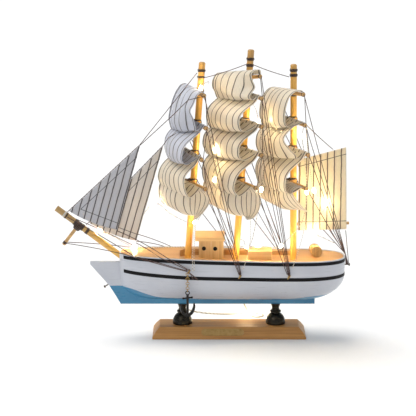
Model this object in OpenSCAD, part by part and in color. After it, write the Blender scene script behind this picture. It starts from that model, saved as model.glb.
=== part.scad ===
// Three-masted model sailing ship on a stand, lit by a battery string of lights.
// Bow towards -X, port side towards -Y, origin on the ground under the middle of the stand.

/* [Stand] */
// Length of the stand block at its foot
base_l = 126; // [110:1:140]
// Width of the stand block at its foot
base_w = 36; // [32:1:44]
// Height of the stand block
base_h = 9; // [7:0.5:11]
// Slope's run on each side of the stand block
base_bevel = 5.8; // [3:0.2:7]
// Distance between the two pedestals
pedestal_gap = 77; // [70:1:84]
// Height of the keel's underside above the ground
keel_z = 26; // [24:0.5:30]

/* [Hull] */
// Breadth of the hull at the rim
beam = 47.6; // [44:0.2:54]
// Height of the rim amidships
rim_z = 66.8; // [64:0.1:72]
// Rise of the rim at the bow
sheer_rise = 3.4; // [0:0.1:5]
// Height of the hull's bottom amidships
bottom_z = 30; // [29:0.5:32]
// Thickness of the board that makes the keel and the stem
keel_t = 4; // [3:0.5:5]
// Thickness of the deck board
deck_t = 2; // [1.5:0.5:3]
// Width of the rim around the deck board
rim_w = 1.2; // [0.8:0.1:2]
// Height of the floor of the deck's well, where the masts and houses stand
well_z = 63.1; // [61:0.1:64]
// Breadth of the deck's well
well_w = 33; // [24:1:36]

/* [Spars] */
// Diameter of the masts
mast_d = 5.3; // [4.5:0.1:6]
// Diameter of the bowsprit
sprit_d = 5; // [4:0.1:5.5]
// Diameter of the yards
yard_d = 3; // [2.5:0.1:3.5]
// Depth that a mast stands in the hull
mast_socket = 18; // [12:1:22]

/* [Sails] */
// Thickness of the sailcloth with its size and glue
cloth_t = 0.8; // [0.6:0.1:1]
// How far a fore sail bellies out
belly_fore = 13; // [9:0.5:15]
// How far a main sail bellies out
belly_main = 15; // [10:0.5:17]
// How far a mizzen sail bellies out
belly_mizzen = 14; // [9:0.5:15]

/* [Thread and wire] */
// Diameter of the rigging thread
thread_d = 0.5; // [0.4:0.1:0.7]
// Diameter of the light string's wire
wire_d = 0.8; // [0.6:0.1:1]
// Diameter of the twin lead to the battery box
lead_d = 1.2; // [1:0.1:1.4]
// Diameter of a light's resin drop
drop_d = 2.8; // [2.2:0.1:3.4]

/* [Battery box] */
// Length of the battery box
box_l = 44; // [42:1:48]
// Width of the battery box
box_w = 30; // [28:1:34]
// Height of the battery box
box_h = 12; // [11.5:0.5:14]

/* [Hidden] */

$fn = 48;
slack = 0.05;                       // radial room of a dowel in its glued socket
stem_x = -90;                       // foremost point of the hull
stern_x = 95;                       // aftmost point of the hull
bow_start = -10;                    // where the bow starts to close in
stern_start = 50;                   // where the stern starts to close in
sheer_start = 35;                   // where the rim starts to rise towards the bow
well_fore = -40.6;                  // the well's two ends
well_aft = 55.6;
well_corner = 9;
well_wall = 1.3;                    // thickness of the wood around the well
deck_drop = 0.4;                    // depth of the deck's surface below the rim

// Masts: foot at the deck, and top
deck_z = rim_z - deck_drop;
mast_foot = [[-33.9, 0, deck_z], [5.5, 0, deck_z], [52.6, 0, deck_z]];
mast_top = [[-22, 0, 226], [17.1, 0, 236], [51.3, 0, 224.3]];

// Yards of each mast: height, length and how far the port end swings aft
yard_z = [[202.5, 177, 152, 128.6], [213.7, 200.8, 178.5, 156, 130], [201.5, 179.5, 156, 129]];
yard_l = [[54, 60, 64, 68], [50, 62, 67, 72, 73], [56, 62, 67, 68]];
brace = [[16, 21, 17, 24], [40, 27, 28.5, 28.5, 24], [22, 22, 25, 22]];
top_roll = [0, -9, -4.3];           // slope of each mast's top yard, down to starboard
top_shift = [0, 6, 0];              // how far a mast's top yard sits to starboard of its lashing
belly = [belly_fore, belly_main, belly_mizzen];
top_belly = [0.85, 0.7, 0.95];      // belly of a mast's top sail, as a share of the others'
foot_drop = [25, 26.5, 21];         // how far a mast's lowest sail hangs
yard_gap = mast_d/2 + yard_d/2 + 0.05;
hem_gap = yard_d/2 + 0.9;           // from a yard's axis to the edge of its sails
hem_rise = 0.6;                     // a sail's upper edge above its yard's axis
hem_lap = 2.4;                      // the next sail's lower edge above that yard's axis

sprit_root = [-89.4, 0, 66.5];
sprit_tip = [-141.2, 0, 106.4];
sprit_dir = (sprit_tip - sprit_root)/norm(sprit_tip - sprit_root);
striker_root = sprit_root + 42.5*sprit_dir;
striker_dir = [-sin(37.6), 0, -cos(37.6)];

eye_x = [-32.8, 8.4, 48];
eye_z = [59.15, 55, 54.7];
eye_r = 1.7;
eye_wire = 0.7;
eye_y = 26.1;
eye_roll = 40;                      // the eyes' rings lean forward by this angle
link_r = 1.245;
link_wire = 0.5;
link_pitch = 2*(link_r - link_wire/2) - 0.05;
links = 8;
chain_top = [eye_x[0] - eye_r*sin(eye_roll), -eye_y, eye_z[0] - eye_r*cos(eye_roll)];
chain_drop = link_r - link_wire/2 - eye_wire/2 - 0.1 + (links - 1)*link_pitch + link_r;
anchor_top = chain_top - [0, 0, chain_drop];
anchor_turn = 25;                   // the anchor hangs turned a little on its chain
stern_nail = [98.4, 0, 59];
bow_nail = [-99.6, 0, 42];

function sheer(x) = rim_z + sheer_rise*max(0, sheer_start - x)/(sheer_start - stem_x);
function half_breadth(x) = beam/2*(
    x < bow_start ? pow(max(0, 1 - pow((bow_start - x)/(bow_start - stem_x), 1.8)), 0.3) :
    x > stern_start ? pow(max(0, 1 - pow((x - stern_start)/(stern_x - stern_start), 2.5)), 0.4) : 1);
function bottom(x) = bottom_z + (
    x < -62 ? 15*(1 - sqrt(max(0, 1 - pow((-62 - x)/28, 2)))) :
    x > 62 ? 21.5*(1 - sqrt(max(0, 1 - pow((x - 62)/33, 2)))) : 0);
// The sections are full amidships, sharper at the stern and nearly V-shaped at the bow
function fullness(x) = x < -20 ? lerp(1.3, 2.3, pow((x - stem_x)/70, 0.8)) :
    x > 60 ? lerp(2.3, 1.8, (x - 60)/35) : 2.3;
function girth(s, n) = pow(1 - pow(1 - s, n), 1/n);
function mast_at(m, z) =
    mast_foot[m] + (z - mast_foot[m].z)/(mast_top[m].z - mast_foot[m].z)*(mast_top[m] - mast_foot[m]);
function turned(v, a) = [v.x*cos(a) - v.y*sin(a), v.x*sin(a) + v.y*cos(a), v.z];
function yard_hub(m, i) = mast_at(m, yard_z[m][i]) + turned([-yard_gap, 0, 0], brace[m][i]);
function yard_roll(m, i) = i == 0 ? top_roll[m] : 0;
function along_yard(m, i, d) = turned([0, d*cos(yard_roll(m, i)), d*sin(yard_roll(m, i))], brace[m][i]);
function yard_mid(m, i) = yard_hub(m, i) + along_yard(m, i, i == 0 ? top_shift[m] : 0);
function yard_end(m, i, side) = yard_mid(m, i) + along_yard(m, i, side*(yard_l[m][i]/2 + 0.6));
// Where a thread is tied behind a yard, a little inside its end
function yard_tie(m, i, side, inset = 2.5) = yard_mid(m, i) +
    turned([yard_d/2 + thread_d/2 + 0.1, 0, 0], brace[m][i]) +
    along_yard(m, i, side*(yard_l[m][i]/2 - inset));
function lerp(a, b, t) = a + (b - a)*t;

// A straight round piece from p to q
module rod(p, q, d, sides = 32) {
    v = q - p;
    translate(p) rotate([0, acos(v.z/norm(v)), atan2(v.y, v.x)])
        cylinder(h = norm(v), d = d, $fn = sides);
}

module ring(r, wire) {
    rotate_extrude($fn = 32) translate([r, 0]) circle(d = wire, $fn = 16);
}

// A tube along a route: one closed skin, with a ring of points at each route point
function unit(v) = v/norm(v);
function along(p, i) = unit(p[min(i + 1, len(p) - 1)] - p[max(i - 1, 0)]);
function across(t) = unit(cross(t, abs(t.z) < 0.9 ? [0, 0, 1] : [1, 0, 0]));
function carried(p, i, n) =
    let (t = along(p, i), side = n - (n*t)*t) unit(side);
function sides_of(p, i = 0, n = undef) =
    i == len(p) ? [] :
    let (now = is_undef(n) ? across(along(p, 0)) : carried(p, i, n))
    concat([now], sides_of(p, i + 1, now));
module tube(p, d) {
    n = 8;
    sides = sides_of(p);
    last = len(p) - 1;
    points = [for (i = [0:last]) for (k = [0:n - 1])
        let (u = sides[i], w = cross(along(p, i), u), a = 360*k/n)
        p[i] + d/2*(cos(a)*u + sin(a)*w)];
    walls = [for (i = [0:last - 1]) for (k = [0:n - 1])
        let (a = i*n + k, b = i*n + (k + 1) % n) each [[a, a + n, b], [b, a + n, b + n]]];
    polyhedron(points, concat([[for (k = [0:n - 1]) k]], walls,
        [[for (k = [n - 1:-1:0]) last*n + k]]), convexity = 10);
}
// Points on a smooth curve through the route's points
function smooth(p, steps) = concat([for (i = [0:len(p) - 2]) for (s = [0:steps - 1])
    let (t = s/steps, a = p[max(i - 1, 0)], b = p[i], c = p[i + 1], e = p[min(i + 2, len(p) - 1)])
    0.5*((2*b) + (c - a)*t + (2*a - 5*b + 4*c - e)*t*t + (3*b - a - 3*c + e)*t*t*t)],
    [p[len(p) - 1]]);

// ---- Stand
module base_block() color("#c98a4b") difference() {
    foot = 1.6;
    intersection() {
        rotate([90, 0, 0]) linear_extrude(base_w + 1, center = true) polygon([
            [-base_l/2, 0], [base_l/2, 0], [base_l/2, foot], [base_l/2 - 0.45*base_bevel, 0.62*base_h],
            [base_l/2 - base_bevel, base_h], [-base_l/2 + base_bevel, base_h],
            [-base_l/2 + 0.45*base_bevel, 0.62*base_h], [-base_l/2, foot]]);
        rotate([90, 0, 90]) linear_extrude(base_l + 1, center = true) polygon([
            [-base_w/2, 0], [base_w/2, 0], [base_w/2, foot], [base_w/2 - base_bevel, base_h],
            [-base_w/2 + base_bevel, base_h], [-base_w/2, foot]]);
    }
    for (s = [-1, 1]) translate([s*pedestal_gap/2, 0, -1]) {
        cylinder(h = base_h + 2, d = 3.3);
        cylinder(h = 4, d = 7);
    }
}

module name_plate() color("#d8b273") {
    slope = atan2(base_h - 1.6, base_bevel);
    translate([-5.3, -base_w/2 + base_bevel/2, 1.6 + (base_h - 1.6)/2]) rotate([slope, 0, 0])
        linear_extrude(0.5) {
            square([29, 6], center = true);
            for (s = [-1, 1]) translate([s*14.5, 0]) circle(d = 6);
        }
}

module pedestal() {
    top = keel_z - base_h;
    difference() {
        rotate_extrude() polygon(concat(
            [[0, 0], [8, 0]],
            [for (a = [0:8:64]) [8.1*cos(a), 1.1 + 8.8*sin(a)]],
            [[3.4, 9.3], [4.5, 9.9], [4.6, 10.9], [3.4, 11.6], [3.0, 13.2],
             [3.3, 14.8], [3.9, top - 0.7], [3.9, top], [0, top]]));
        translate([0, 0, -1]) cylinder(h = top + 2, d = 3.3);
    }
}
module pedestal_fore() color("#26241f") translate([-pedestal_gap/2, 0, base_h]) pedestal();
module pedestal_aft() color("#3a3122") translate([pedestal_gap/2, 0, base_h]) pedestal();

screw_tip = keel_z + 18;
module pedestal_screws() color("silver") for (s = [-1, 1]) translate([s*pedestal_gap/2, 0, 0])
    difference() {
        union() {
            translate([0, 0, 0.8]) cylinder(h = 2.2, d = 6);
            translate([0, 0, 2.9]) cylinder(h = screw_tip - 2.9, d = 3);
        }
        for (a = [0, 90]) rotate([0, 0, a]) translate([-2, -0.4, 0]) cube([4, 0.8, 1.8]);
    }
module screw_holes() for (s = [-1, 1]) translate([s*pedestal_gap/2, 0, keel_z - 1])
    cylinder(h = screw_tip - keel_z + 1.2, d = 3.04);

// ---- Hull
// Stations crowd towards the two ends, where the hull is round
stations = 34;
levels = 10;
function station_x(i) = let (t = i/(stations - 1), u = (1 - cos(180*t))/2)
    lerp(stem_x + 0.05, stern_x - 0.15, lerp(t, u, 0.75));
module hull_skin() {
    row = 2*levels + 1;
    points = [for (i = [0:stations - 1]) for (k = [-levels:levels])
        let (x = station_x(i), s = pow(abs(k)/levels, 1.25), y = half_breadth(x)*girth(s, fullness(x)))
        [x, (k < 0 ? -1 : 1)*(k == 0 ? 0 : y), lerp(bottom(x), sheer(x), s)]];
    walls = [for (i = [0:stations - 2]) for (k = [0:row - 2])
        let (a = i*row + k, b = a + row) each [[a + 1, a, b], [a + 1, b, b + 1]]];
    lid = [for (i = [0:stations - 2])
        let (a = i*row, b = a + row) each [[b, a, a + row - 1], [b, a + row - 1, b + row - 1]]];
    ends = [[for (k = [0:row - 1]) k], [for (k = [row - 1:-1:0]) (stations - 1)*row + k]];
    polyhedron(points, concat(walls, lid, ends), convexity = 6);
}
// The deck's outline inside the rim, and the side view of a board that follows the sheer
module deck_plan() offset(delta = -rim_w) polygon(concat(
    [for (i = [0:stations - 1]) [station_x(i), -half_breadth(station_x(i))]],
    [for (i = [stations - 1:-1:0]) [station_x(i), half_breadth(station_x(i))]]));
module sheer_band(low, high) {
    xs = [for (x = [-94:8:98]) x];
    rotate([90, 0, 0]) linear_extrude(beam + 4, center = true) polygon(concat(
        [for (x = xs) [x, sheer(x) + low]],
        [for (i = [len(xs) - 1:-1:0]) [xs[i], sheer(xs[i]) + high]]));
}
module well_plan(grow = 0) translate([(well_fore + well_aft)/2, 0])
    offset(r = well_corner + grow)
    square([well_aft - well_fore - 2*well_corner, well_w - 2*well_corner], center = true);
// The well with the wood around it, open at the top
module well_block() translate([0, 0, well_z - well_wall]) linear_extrude(20) well_plan(well_wall);
module mast_holes() for (m = [0:2]) rod(mast_at(m, deck_z - mast_socket), mast_top[m], mast_d + 2*slack);
module sprit_hole() rod(sprit_root - 12*sprit_dir, sprit_tip, sprit_d + 2*slack);
module keel_outline() {
    polygon([
        [-114.2, 61.6], [-86, 61.6], [-86, 50], [-78, 38], [-66, 34.5], [66, 34.5], [70.6, 33.4],
        [70.6, keel_z], [-89.4, keel_z], [-93.4, 33], [-98.6, 41.5], [-114, 59.3]]);
}
module keel_solid(t) rotate([90, 0, 0]) linear_extrude(t, center = true) keel_outline();
module eye_shanks(d) for (i = [0:2]) for (s = [-1, 1])
    rod([eye_x[i], s*19, eye_z[i]], [eye_x[i], s*(eye_y - eye_r), eye_z[i]], d, 24);

module hull() color("#f2f2f0") difference() {
    hull_skin();
    intersection() {
        translate([0, 0, 40]) linear_extrude(60) deck_plan();
        sheer_band(-deck_drop - deck_t, 20);
    }
    well_block();
    keel_solid(keel_t);
    mast_holes();
    sprit_hole();
    screw_holes();
    eye_shanks(1.2);
    rod(stern_nail - [12, 0, 0], stern_nail, 1.04, 24);
}
module keel_board() color("#2f7fa3") difference() {
    keel_solid(keel_t);
    screw_holes();
    sprit_hole();
    rod(bow_nail, bow_nail + [8, 0, 5], 1.04, 24);
}
module deck_board() color("#e8a650") difference() {
    intersection() {
        union() {
            translate([0, 0, 40]) linear_extrude(60) deck_plan();
            well_block();
        }
        union() {
            sheer_band(-deck_drop - deck_t, -deck_drop);
            intersection() {
                well_block();
                sheer_band(-20, -deck_drop);
            }
        }
    }
    translate([0, 0, well_z]) linear_extrude(20) well_plan();
    mast_holes();
    sprit_hole();
}

// ---- Deck fittings
house_z = 81.3;
porthole_z = 74.7;
porthole_d = 3.4;
module deckhouse_fore() color("#d79a4e") difference() {
    translate([-24.8, -9.6, well_z + 0.05]) cube([10, 19.6, house_z - well_z - 0.05]);
    porthole_at(-20.7);
}
module deckhouse_aft() color("#e2a95c") difference() {
    translate([-14.7, -10.4, well_z + 0.05]) cube([10, 20.8, house_z - well_z - 0.05]);
    porthole_at(-11.5);
}
module deckhouse_roof() color("#e6b06a") translate([-27.8, -12, house_z + 0.02]) cube([24, 24, 3.3]);
module porthole_at(x) translate([x, -12, porthole_z]) rotate([-90, 0, 0])
    cylinder(h = 3.4, d = porthole_d);
module portholes() color("#17130e") for (p = [[-20.7, -9.8], [-11.5, -10.6]])
    translate([p.x, p.y, porthole_z]) rotate([-90, 0, 0]) cylinder(h = -8.6 - p.y, d = porthole_d);
module hatch_block() color("#efc07a") translate([15.3, -14, well_z + 0.02]) cube([19.4, 14.4, 73.4 - well_z]);
module stern_barrel() color("#cf9b4e") translate([70.8, 0, deck_z + 4.52]) rotate([90, 0, 8])
    difference() {
        cylinder(h = 11, d = 9, center = true);
        for (s = [-1, 1]) translate([0, 0, s*5.6]) rotate([0, 0, 40]) cube([7.6, 0.7, 1], center = true);
    }

// ---- Masts, bowsprit and yards
module mast(m) {
    foot = mast_at(m, deck_z - mast_socket);
    v = mast_top[m] - foot;
    edge = 0.8;
    translate(foot) rotate([0, atan2(v.x, v.z), 0]) rotate_extrude() polygon([
        [0, 0], [mast_d/2, 0], [mast_d/2, norm(v) - edge], [mast_d/2 - edge, norm(v)], [0, norm(v)]]);
}
module mast_fore() color("#e9a33a") mast(0);
module mast_main() color("#e9a33a") mast(1);
module mast_mizzen() color("#e9a33a") mast(2);
module bowsprit() color("#e3a044") rod(sprit_root - 12*sprit_dir, sprit_tip, sprit_d);
module dolphin_striker() color("#c98c48")
    rod(striker_root + (sprit_d/2 + 0.02)*striker_dir, striker_root + 21*striker_dir, 2.8);
module yards(m) for (i = [0:len(yard_z[m]) - 1])
    translate(yard_mid(m, i)) rotate([0, 0, brace[m][i]]) rotate([90 + yard_roll(m, i), 0, 0])
        cylinder(h = yard_l[m][i], d = yard_d, center = true);
module fore_yards() color("#b98947") yards(0);
module main_yards() color("#b98947") yards(1);
module mizzen_yards() color("#b98947") yards(2);

spar_y = 2.2;                       // the spanker's sticks lie on its starboard face
module gaff() color("#b98947") rod([55.6, spar_y, 141.5], [94.5, spar_y, 151.6], 2.4);
module boom() color("#b98947") rod([55.6, spar_y, 92.6], [98.2, spar_y, 93.4], 2.4);

// ---- Thread windings
module winding(p, dir, d, h, t = 0.45) {
    v = unit(dir);
    difference() {
        rod(p - h/2*v, p + h/2*v, d + 2*t);
        rod(p - h*v, p + h*v, d);
    }
}
mast_bands = [[6.8, 12.2], [7.5, 12.5], [4.8, 8.8]];
module mast_lashings() color("#3a2a1e") for (m = [0:2]) for (drop = mast_bands[m])
    winding(mast_at(m, mast_top[m].z - drop), mast_top[m] - mast_foot[m], mast_d, 2.2);
module bowsprit_lashings() color("#4a3a2c") for (s = [34, 42.5 - 3.4, 42.5 + 3.4, 57])
    winding(sprit_root + s*sprit_dir, sprit_dir, sprit_d, 2.4);
module yard_lashings() color("#5a4634") for (m = [0:2]) for (i = [0:len(yard_z[m]) - 1]) {
    p = mast_at(m, yard_z[m][i]);
    dir = unit(mast_top[m] - mast_foot[m]);
    q = yard_hub(m, i);
    arm = along_yard(m, i, 1);
    difference() {
        union() {
            rod(p - 2.6*dir, p + 2.6*dir, mast_d + 0.8);
            rod(q - 2.6*arm, q + 2.6*arm, yard_d + 0.8);
        }
        rod(p - 9*dir, p + 9*dir, mast_d);
        rod(q - 9*arm, q + 9*arm, yard_d);
    }
}

// ---- Sails
// A square sail in side view: half an ellipse from its yard's hem round to the edge below
function sail_arc(out, drop, dx, sweep, n = 18) = [for (i = [0:n])
    let (a = sweep*i/n) [-out*sin(a) + dx*i/n, -drop*(1 - cos(a))/2]];
module square_sail(m, i) {
    lowest = i == len(yard_z[m]) - 1;
    lap = hem_lap + yard_l[m][i]/2*abs(sin(yard_roll(m, i)));
    below = lowest ? [0, 0, -foot_drop[m]] : yard_mid(m, i + 1) - yard_mid(m, i) + [0, 0, lap];
    angle = brace[m][i];
    out = belly[m]*(i == 0 ? top_belly[m] : 1);
    drop = hem_rise - below.z;
    dx = lowest ? 0 : turned(below, -angle).x;
    sweep = lowest ? 186 : 180;
    outer = sail_arc(out + cloth_t/2, drop + cloth_t, dx, sweep);
    inner = sail_arc(out - cloth_t/2, drop - cloth_t, dx, sweep);
    width = yard_l[m][i] - 5;
    translate(yard_mid(m, i) + [0, 0, hem_rise]) rotate([yard_roll(m, i), 0, angle])
        translate([-hem_gap, 0, 0]) rotate([90, 0, 0]) linear_extrude(width, center = true) polygon(concat(
            [for (p = outer) p + [0, cloth_t/2]],
            [for (k = [len(inner) - 1:-1:0]) inner[k] - [0, cloth_t/2]]));
}
module fore_sail_1() color("#c9ccd8") square_sail(0, 0);
module fore_sail_2() color("#cfd2dc") square_sail(0, 1);
module fore_sail_3() color("#e2ddd2") square_sail(0, 2);
module fore_sail_4() color("#f3e6b8") square_sail(0, 3);
module main_sail_1() color("#e3ddd3") square_sail(1, 0);
module main_sail_2() color("#efe3c6") square_sail(1, 1);
module main_sail_3() color("#e8d8ba") square_sail(1, 2);
module main_sail_4() color("#e9dcc2") square_sail(1, 3);
module main_sail_5() color("#eadfbf") square_sail(1, 4);
module mizzen_sail_1() color("#f2e8cd") square_sail(2, 0);
module mizzen_sail_2() color("#efe3c4") square_sail(2, 1);
module mizzen_sail_3() color("#ecdfc4") square_sail(2, 2);
module mizzen_sail_4() color("#e6d6b8") square_sail(2, 3);

// A flat fore-and-aft sail: its corners in side view, and its place across the ship
module flat_sail(corners, y) translate([0, y, 0]) rotate([90, 0, 0])
    linear_extrude(cloth_t, center = true) polygon(corners);
outer_jib = [[-130.6, 104.2], [-72.2, 158.7], [-91.6, 88.9]];
inner_jib = [[-114.8, 93.8], [-53.6, 157.5], [-76.2, 78.8]];
module jib_outer() color("#b4b4be") flat_sail(outer_jib, -1.6);
module jib_inner() color("#c8bfb9") flat_sail(inner_jib, 1.6);
module spanker() color("#f0e0b4") flat_sail([[56.2, 146.4], [94.6, 156.7], [96, 88.7], [56.2, 87.8]], 0.4);

// ---- Metal fittings
module screw_eyes() color("#b08d4a") {
    for (i = [0:2]) for (s = [-1, 1]) translate([eye_x[i], s*eye_y, eye_z[i]])
        rotate([0, 90 + eye_roll, 0]) ring(eye_r, eye_wire);
    eye_shanks(1.16);
}
module hull_nails() color("#4b443a") {
    rod(stern_nail - [12, 0, 0], stern_nail, 1, 24);
    rod(stern_nail - [0.2, 0, 0], stern_nail + [0.9, 0, 0], 2.2, 24);
    rod(bow_nail - [2.6, 0, 1.6], bow_nail + [8, 0, 5], 1, 24);
    rod(bow_nail - [3.4, 0, 2.1], bow_nail - [2.5, 0, 1.55], 2.2, 24);
}
module anchor_chain() color("#b8934a") for (k = [0:links - 1])
    translate(chain_top - [0, 0, link_r - link_wire/2 - eye_wire/2 - 0.1 + k*link_pitch])
        rotate(k % 2 == 0 ? [90, 0, 0] : [0, 90, 0]) ring(link_r, link_wire);
// An anchor's arms in side view, thick at the crown and pointed at both ends
function arm_at(a, grow) = [(5.9 + grow)*sin(a), 9.3 - (8.2 + grow)*cos(a)];
function arm_half(k, steps) = 1.1*sqrt(1 - 0.97*pow(k/steps, 2));
module anchor() color("#1c1b1a") {
    head_r = 1.5;
    head_wire = 0.8;
    crown = -19.8;                  // lowest point of the arms below the middle of the ring
    shank_top = -head_r - 0.3;
    stock_z = -4.2;
    stock = 7.6;
    thick = 1.8;
    steps = 10;
    translate(anchor_top - [0, 0, head_r - head_wire/2 - link_wire/2 - 0.1]) {
        rotate([90, 0, 0]) ring(head_r, head_wire);
        rotate([0, 0, anchor_turn]) {
            translate([0, 0, crown + 2]) cylinder(h = shank_top - crown - 2, d = 2);
            translate([0, 0, stock_z]) rotate([0, 90, 0]) cylinder(h = stock, d = 1.3, center = true);
            for (s = [-1, 1]) translate([s*stock/2, 0, stock_z]) sphere(d = 1.8);
            translate([0, thick/2, crown]) rotate([90, 0, 0]) linear_extrude(thick) polygon(concat(
                [for (k = [-steps:steps]) arm_at(10*k, arm_half(k, steps))],
                [for (k = [steps:-1:-steps]) arm_at(10*k, -arm_half(k, steps))]));
        }
    }
}

// ---- Rigging
module thread(p, q) rod(p, q, thread_d, 16);
lean_z = 117;
lean_y = 31.6;
clear_of_end = 1;                   // gap between a top thread and the next yard's end
module side_rigging(s) {
    step = thread_d + 0.12;         // threads on one fitting lie side by side
    eye = [for (i = [0:2]) [eye_x[i], s*(eye_y + 0.2), eye_z[i]]];
    for (m = [0:1]) for (i = [0:len(yard_z[m]) - 1]) {
        // The starboard threads and the main top yard's lean on the next mast's lowest sail
        leans = s > 0 || (m == 1 && i == 0);
        low = eye[m + 1] + [step*(1.5 - i), 0, eye_r + 0.7];
        top = yard_end(m, i, s);
        bend = lerp(low, top, (lean_z - low.z)/(top.z - low.z));
        // The top thread of the starboard side goes down outside the next yard's end
        past = s > 0 && i == 0 ? [yard_end(m, 1, s) + [0, clear_of_end, 0]] : [];
        over_sail = leans ? [[bend.x, s*max(s*bend.y, lean_y), lean_z]] : [];
        tube(concat([top], past, over_sail, [low]), thread_d);
    }
    for (i = [0:3]) {
        over_rim = [stern_x + 0.7, s*(1.4 + step*i), sheer(stern_x) + 0.5];
        start = s > 0 ? yard_tie(2, i, s, 0.8) : yard_end(2, i, s);
        tube([start, over_rim, stern_nail + [-step*i - 0.4, s*0.9, 0]], thread_d);
    }
    for (m = [0:2]) for (i = [0:len(yard_z[m]) - 2])
        thread(yard_tie(m, i, s) - [0, 0, 0.5], yard_tie(m, i + 1, s) + [0, 0, 0.5]);
    ends = [
        striker_root + 19*striker_dir + [0, s*1.8, 0],
        sprit_root + 54*sprit_dir + [0, s*3, 0],
        [inner_jib[2].x, s*2.8, inner_jib[2].y - 1],
        [outer_jib[2].x, s*2.6, outer_jib[2].y - 1]];
    // The fore threads lie along the hull's side as far as the rim, and go on free
    leaves = [-84, -78, -56, -50];
    for (k = [0:3]) {
        start = eye[0] + [-1, 0, 0.3 + step*k];
        n = 4;
        tube(concat([start], [for (j = [1:n])
            let (x = lerp(start.x, leaves[k], j/n), z = lerp(start.z, sheer(leaves[k]) + 0.5, j/n))
            [x, s*(lerp(eye_y, half_breadth(x) + 0.9, min(1, 2*j/n))), z]], [ends[k]]), thread_d);
    }
}
module rigging_port() color("#3c2b22") side_rigging(-1);
module rigging_starboard() color("#3c2b22") side_rigging(1);
// A stay along a jib's luff, clear of the cloth, and on to the point where it is made fast
module luff_stay(corners, y, from, to) {
    v = unit(corners[1] - corners[0]);
    off = [-v.y, v.x]*(thread_d/2 + 0.2);
    foot = [corners[0].x + off.x, y, corners[0].y + off.y] - from*[v.x, 0, v.y];
    tube([foot, [corners[1].x + off.x, y, corners[1].y + off.y], to], thread_d);
}
module rigging_stays() color("#3c2b22") {
    gap = mast_d/2 + 0.8;
    thread(mast_at(0, 213.5) + [gap, 0, 0], mast_at(1, 224) - [gap, 0, 0]);
    thread(mast_at(1, 223.5) + [gap, 0, 0], mast_at(2, 214) - [gap, 0, 0]);
    luff_stay(outer_jib, -1.6, 1.6, mast_at(0, 217.3) - [gap, 0, 0]);
    luff_stay(inner_jib, 1.6, 3, [-49, 1.6, 164.6]);
    thread([95.4, 0.4, 87.6], stern_nail + [-0.2, 0, 1.4]);
    thread(yard_tie(2, 1, -1, 1.6), [84, 1.2, 154.8]);
}

// ---- Light string
// Its route: over the starboard rail, up through the sails, out to the bowsprit and back aft
string_route = [
    [9.6, 28.6, 53], [9.6, 29, 62], [9, 26, 73], [12, 8, 77], [14, -14, 77], [18, -21, 84],
    [22, -26, 106], [25, -31, 128], [27, -27, 152], [23, -12, 180], [20, 1, 190], [12, 16, 196],
    [4, 31, 202], [-8, 29, 203], [-16, 12, 206], [-17, -6, 211], [-23, -14, 207],
    [-18, -16, 192], [-17, -12, 172], [-12, -10, 156], [-12, -10, 132], [-18, -14, 116],
    [-28, -16, 98], [-46, 10, 98], [-62, 22, 106], [-76, 14, 92], [-98, 6, 84], [-106, 4, 87],
    [-94, 8, 80], [-78, 8, 72], [-52, 15, 70], [-8, 18, 70], [24, 17, 70], [42, 4, 72],
    [42, -14, 78], [58, -18, 98], [62, -20, 124], [60, -17, 152], [58, -12, 168], [62, 8, 172],
    [64, -3, 150], [68, -16, 124], [79, -4, 111], [72, -5, 98], [69, -4, 87], [78, -5, 82],
    [86, -4, 78]
];
string_lights = [4, 7, 9, 13, 16, 19, 20, 22, 24, 27, 29, 32, 34, 36, 38, 41, 42, 44];
// Its lead: down from the rail to the ground behind the stand, and on to the battery box
lead_route = [
    [9.6, 28.6, 52], [9.6, 29.4, 46], [10, 30.6, 36], [11.4, 32.4, 25], [14, 35, 14], [17.6, 38.6, 6],
    [22, 43, 1.8], [26.6, 47.4, 0.7], [30, 52, 0.6], [29, 57, 0.6], [24, 60, 0.6], [17, 60, 0.6],
    [8, 58, 0.6], [-2, 57, 0.6], [-12, 58, 0.6], [-22, 61, 0.6], [-30, 66, 0.6], [-36, 73, 0.6],
    [-39, 81, 0.6], [-39, 90, 0.6], [-37, 98, 0.8], [-33, 104.4, 1.6], [-28.4, 108.2, 2.8],
    [-24.4, 109, 3.5], [-20.6, 109, 3.5]
];
module led_wire() color("#cfc3a8") tube(smooth(string_route, 2), wire_d);
module led_drops() color("#ffdf9a") for (i = string_lights) translate(string_route[i])
    sphere(d = drop_d, $fn = 24);
module led_lead() color("#cfc3a8") tube(smooth(lead_route, 2), lead_d);
module lead_led() color("#ffdf9a") translate([17, 60, 1.5]) sphere(d = drop_d, $fn = 24);

// ---- Battery box, on the ground behind the ship
box_x = -20;
box_y = 97;
wall = 1.6;
lid_t = 1.6;
lid_play = 0.2;
lip = 1.2;
switch_x = box_x + 8;
module battery_case() color("#f4f4f2") difference() {
    translate([box_x, box_y, 0]) cube([box_l, box_w, box_h]);
    translate([box_x + wall, box_y + wall, wall])
        cube([box_l - 2*wall, box_w - 2*wall, box_h]);
    // Grooves for the sliding cover, open at the box's +X end
    translate([box_x + wall, box_y + wall - 0.8, box_h - lip - lid_t - lid_play])
        cube([box_l, box_w - 2*wall + 1.6, lid_t + lid_play]);
    translate([box_x + wall, box_y + wall, box_h - lip - lid_t - lid_play]) cube([box_l, box_w - 2*wall, 9]);
    translate([box_x - 1, 109, 3.5]) rotate([0, 90, 0]) cylinder(h = wall + 2, d = 2.6);
    translate([switch_x, box_y - 1, 4.4]) cube([8, wall + 2, 2.4]);
}
module battery_cover() color("#ececea") difference() {
    translate([box_x + wall + 0.1, box_y + wall - 0.6, box_h - lip - lid_t - lid_play/2])
        cube([box_l - wall - 0.1, box_w - 2*wall + 1.2, lid_t]);
    for (k = [0:4]) translate([box_x + box_l - 9 + 1.5*k, box_y + 8, box_h - lip - lid_play/2 - 0.5])
        cube([0.7, box_w - 16, 1]);
}
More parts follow.
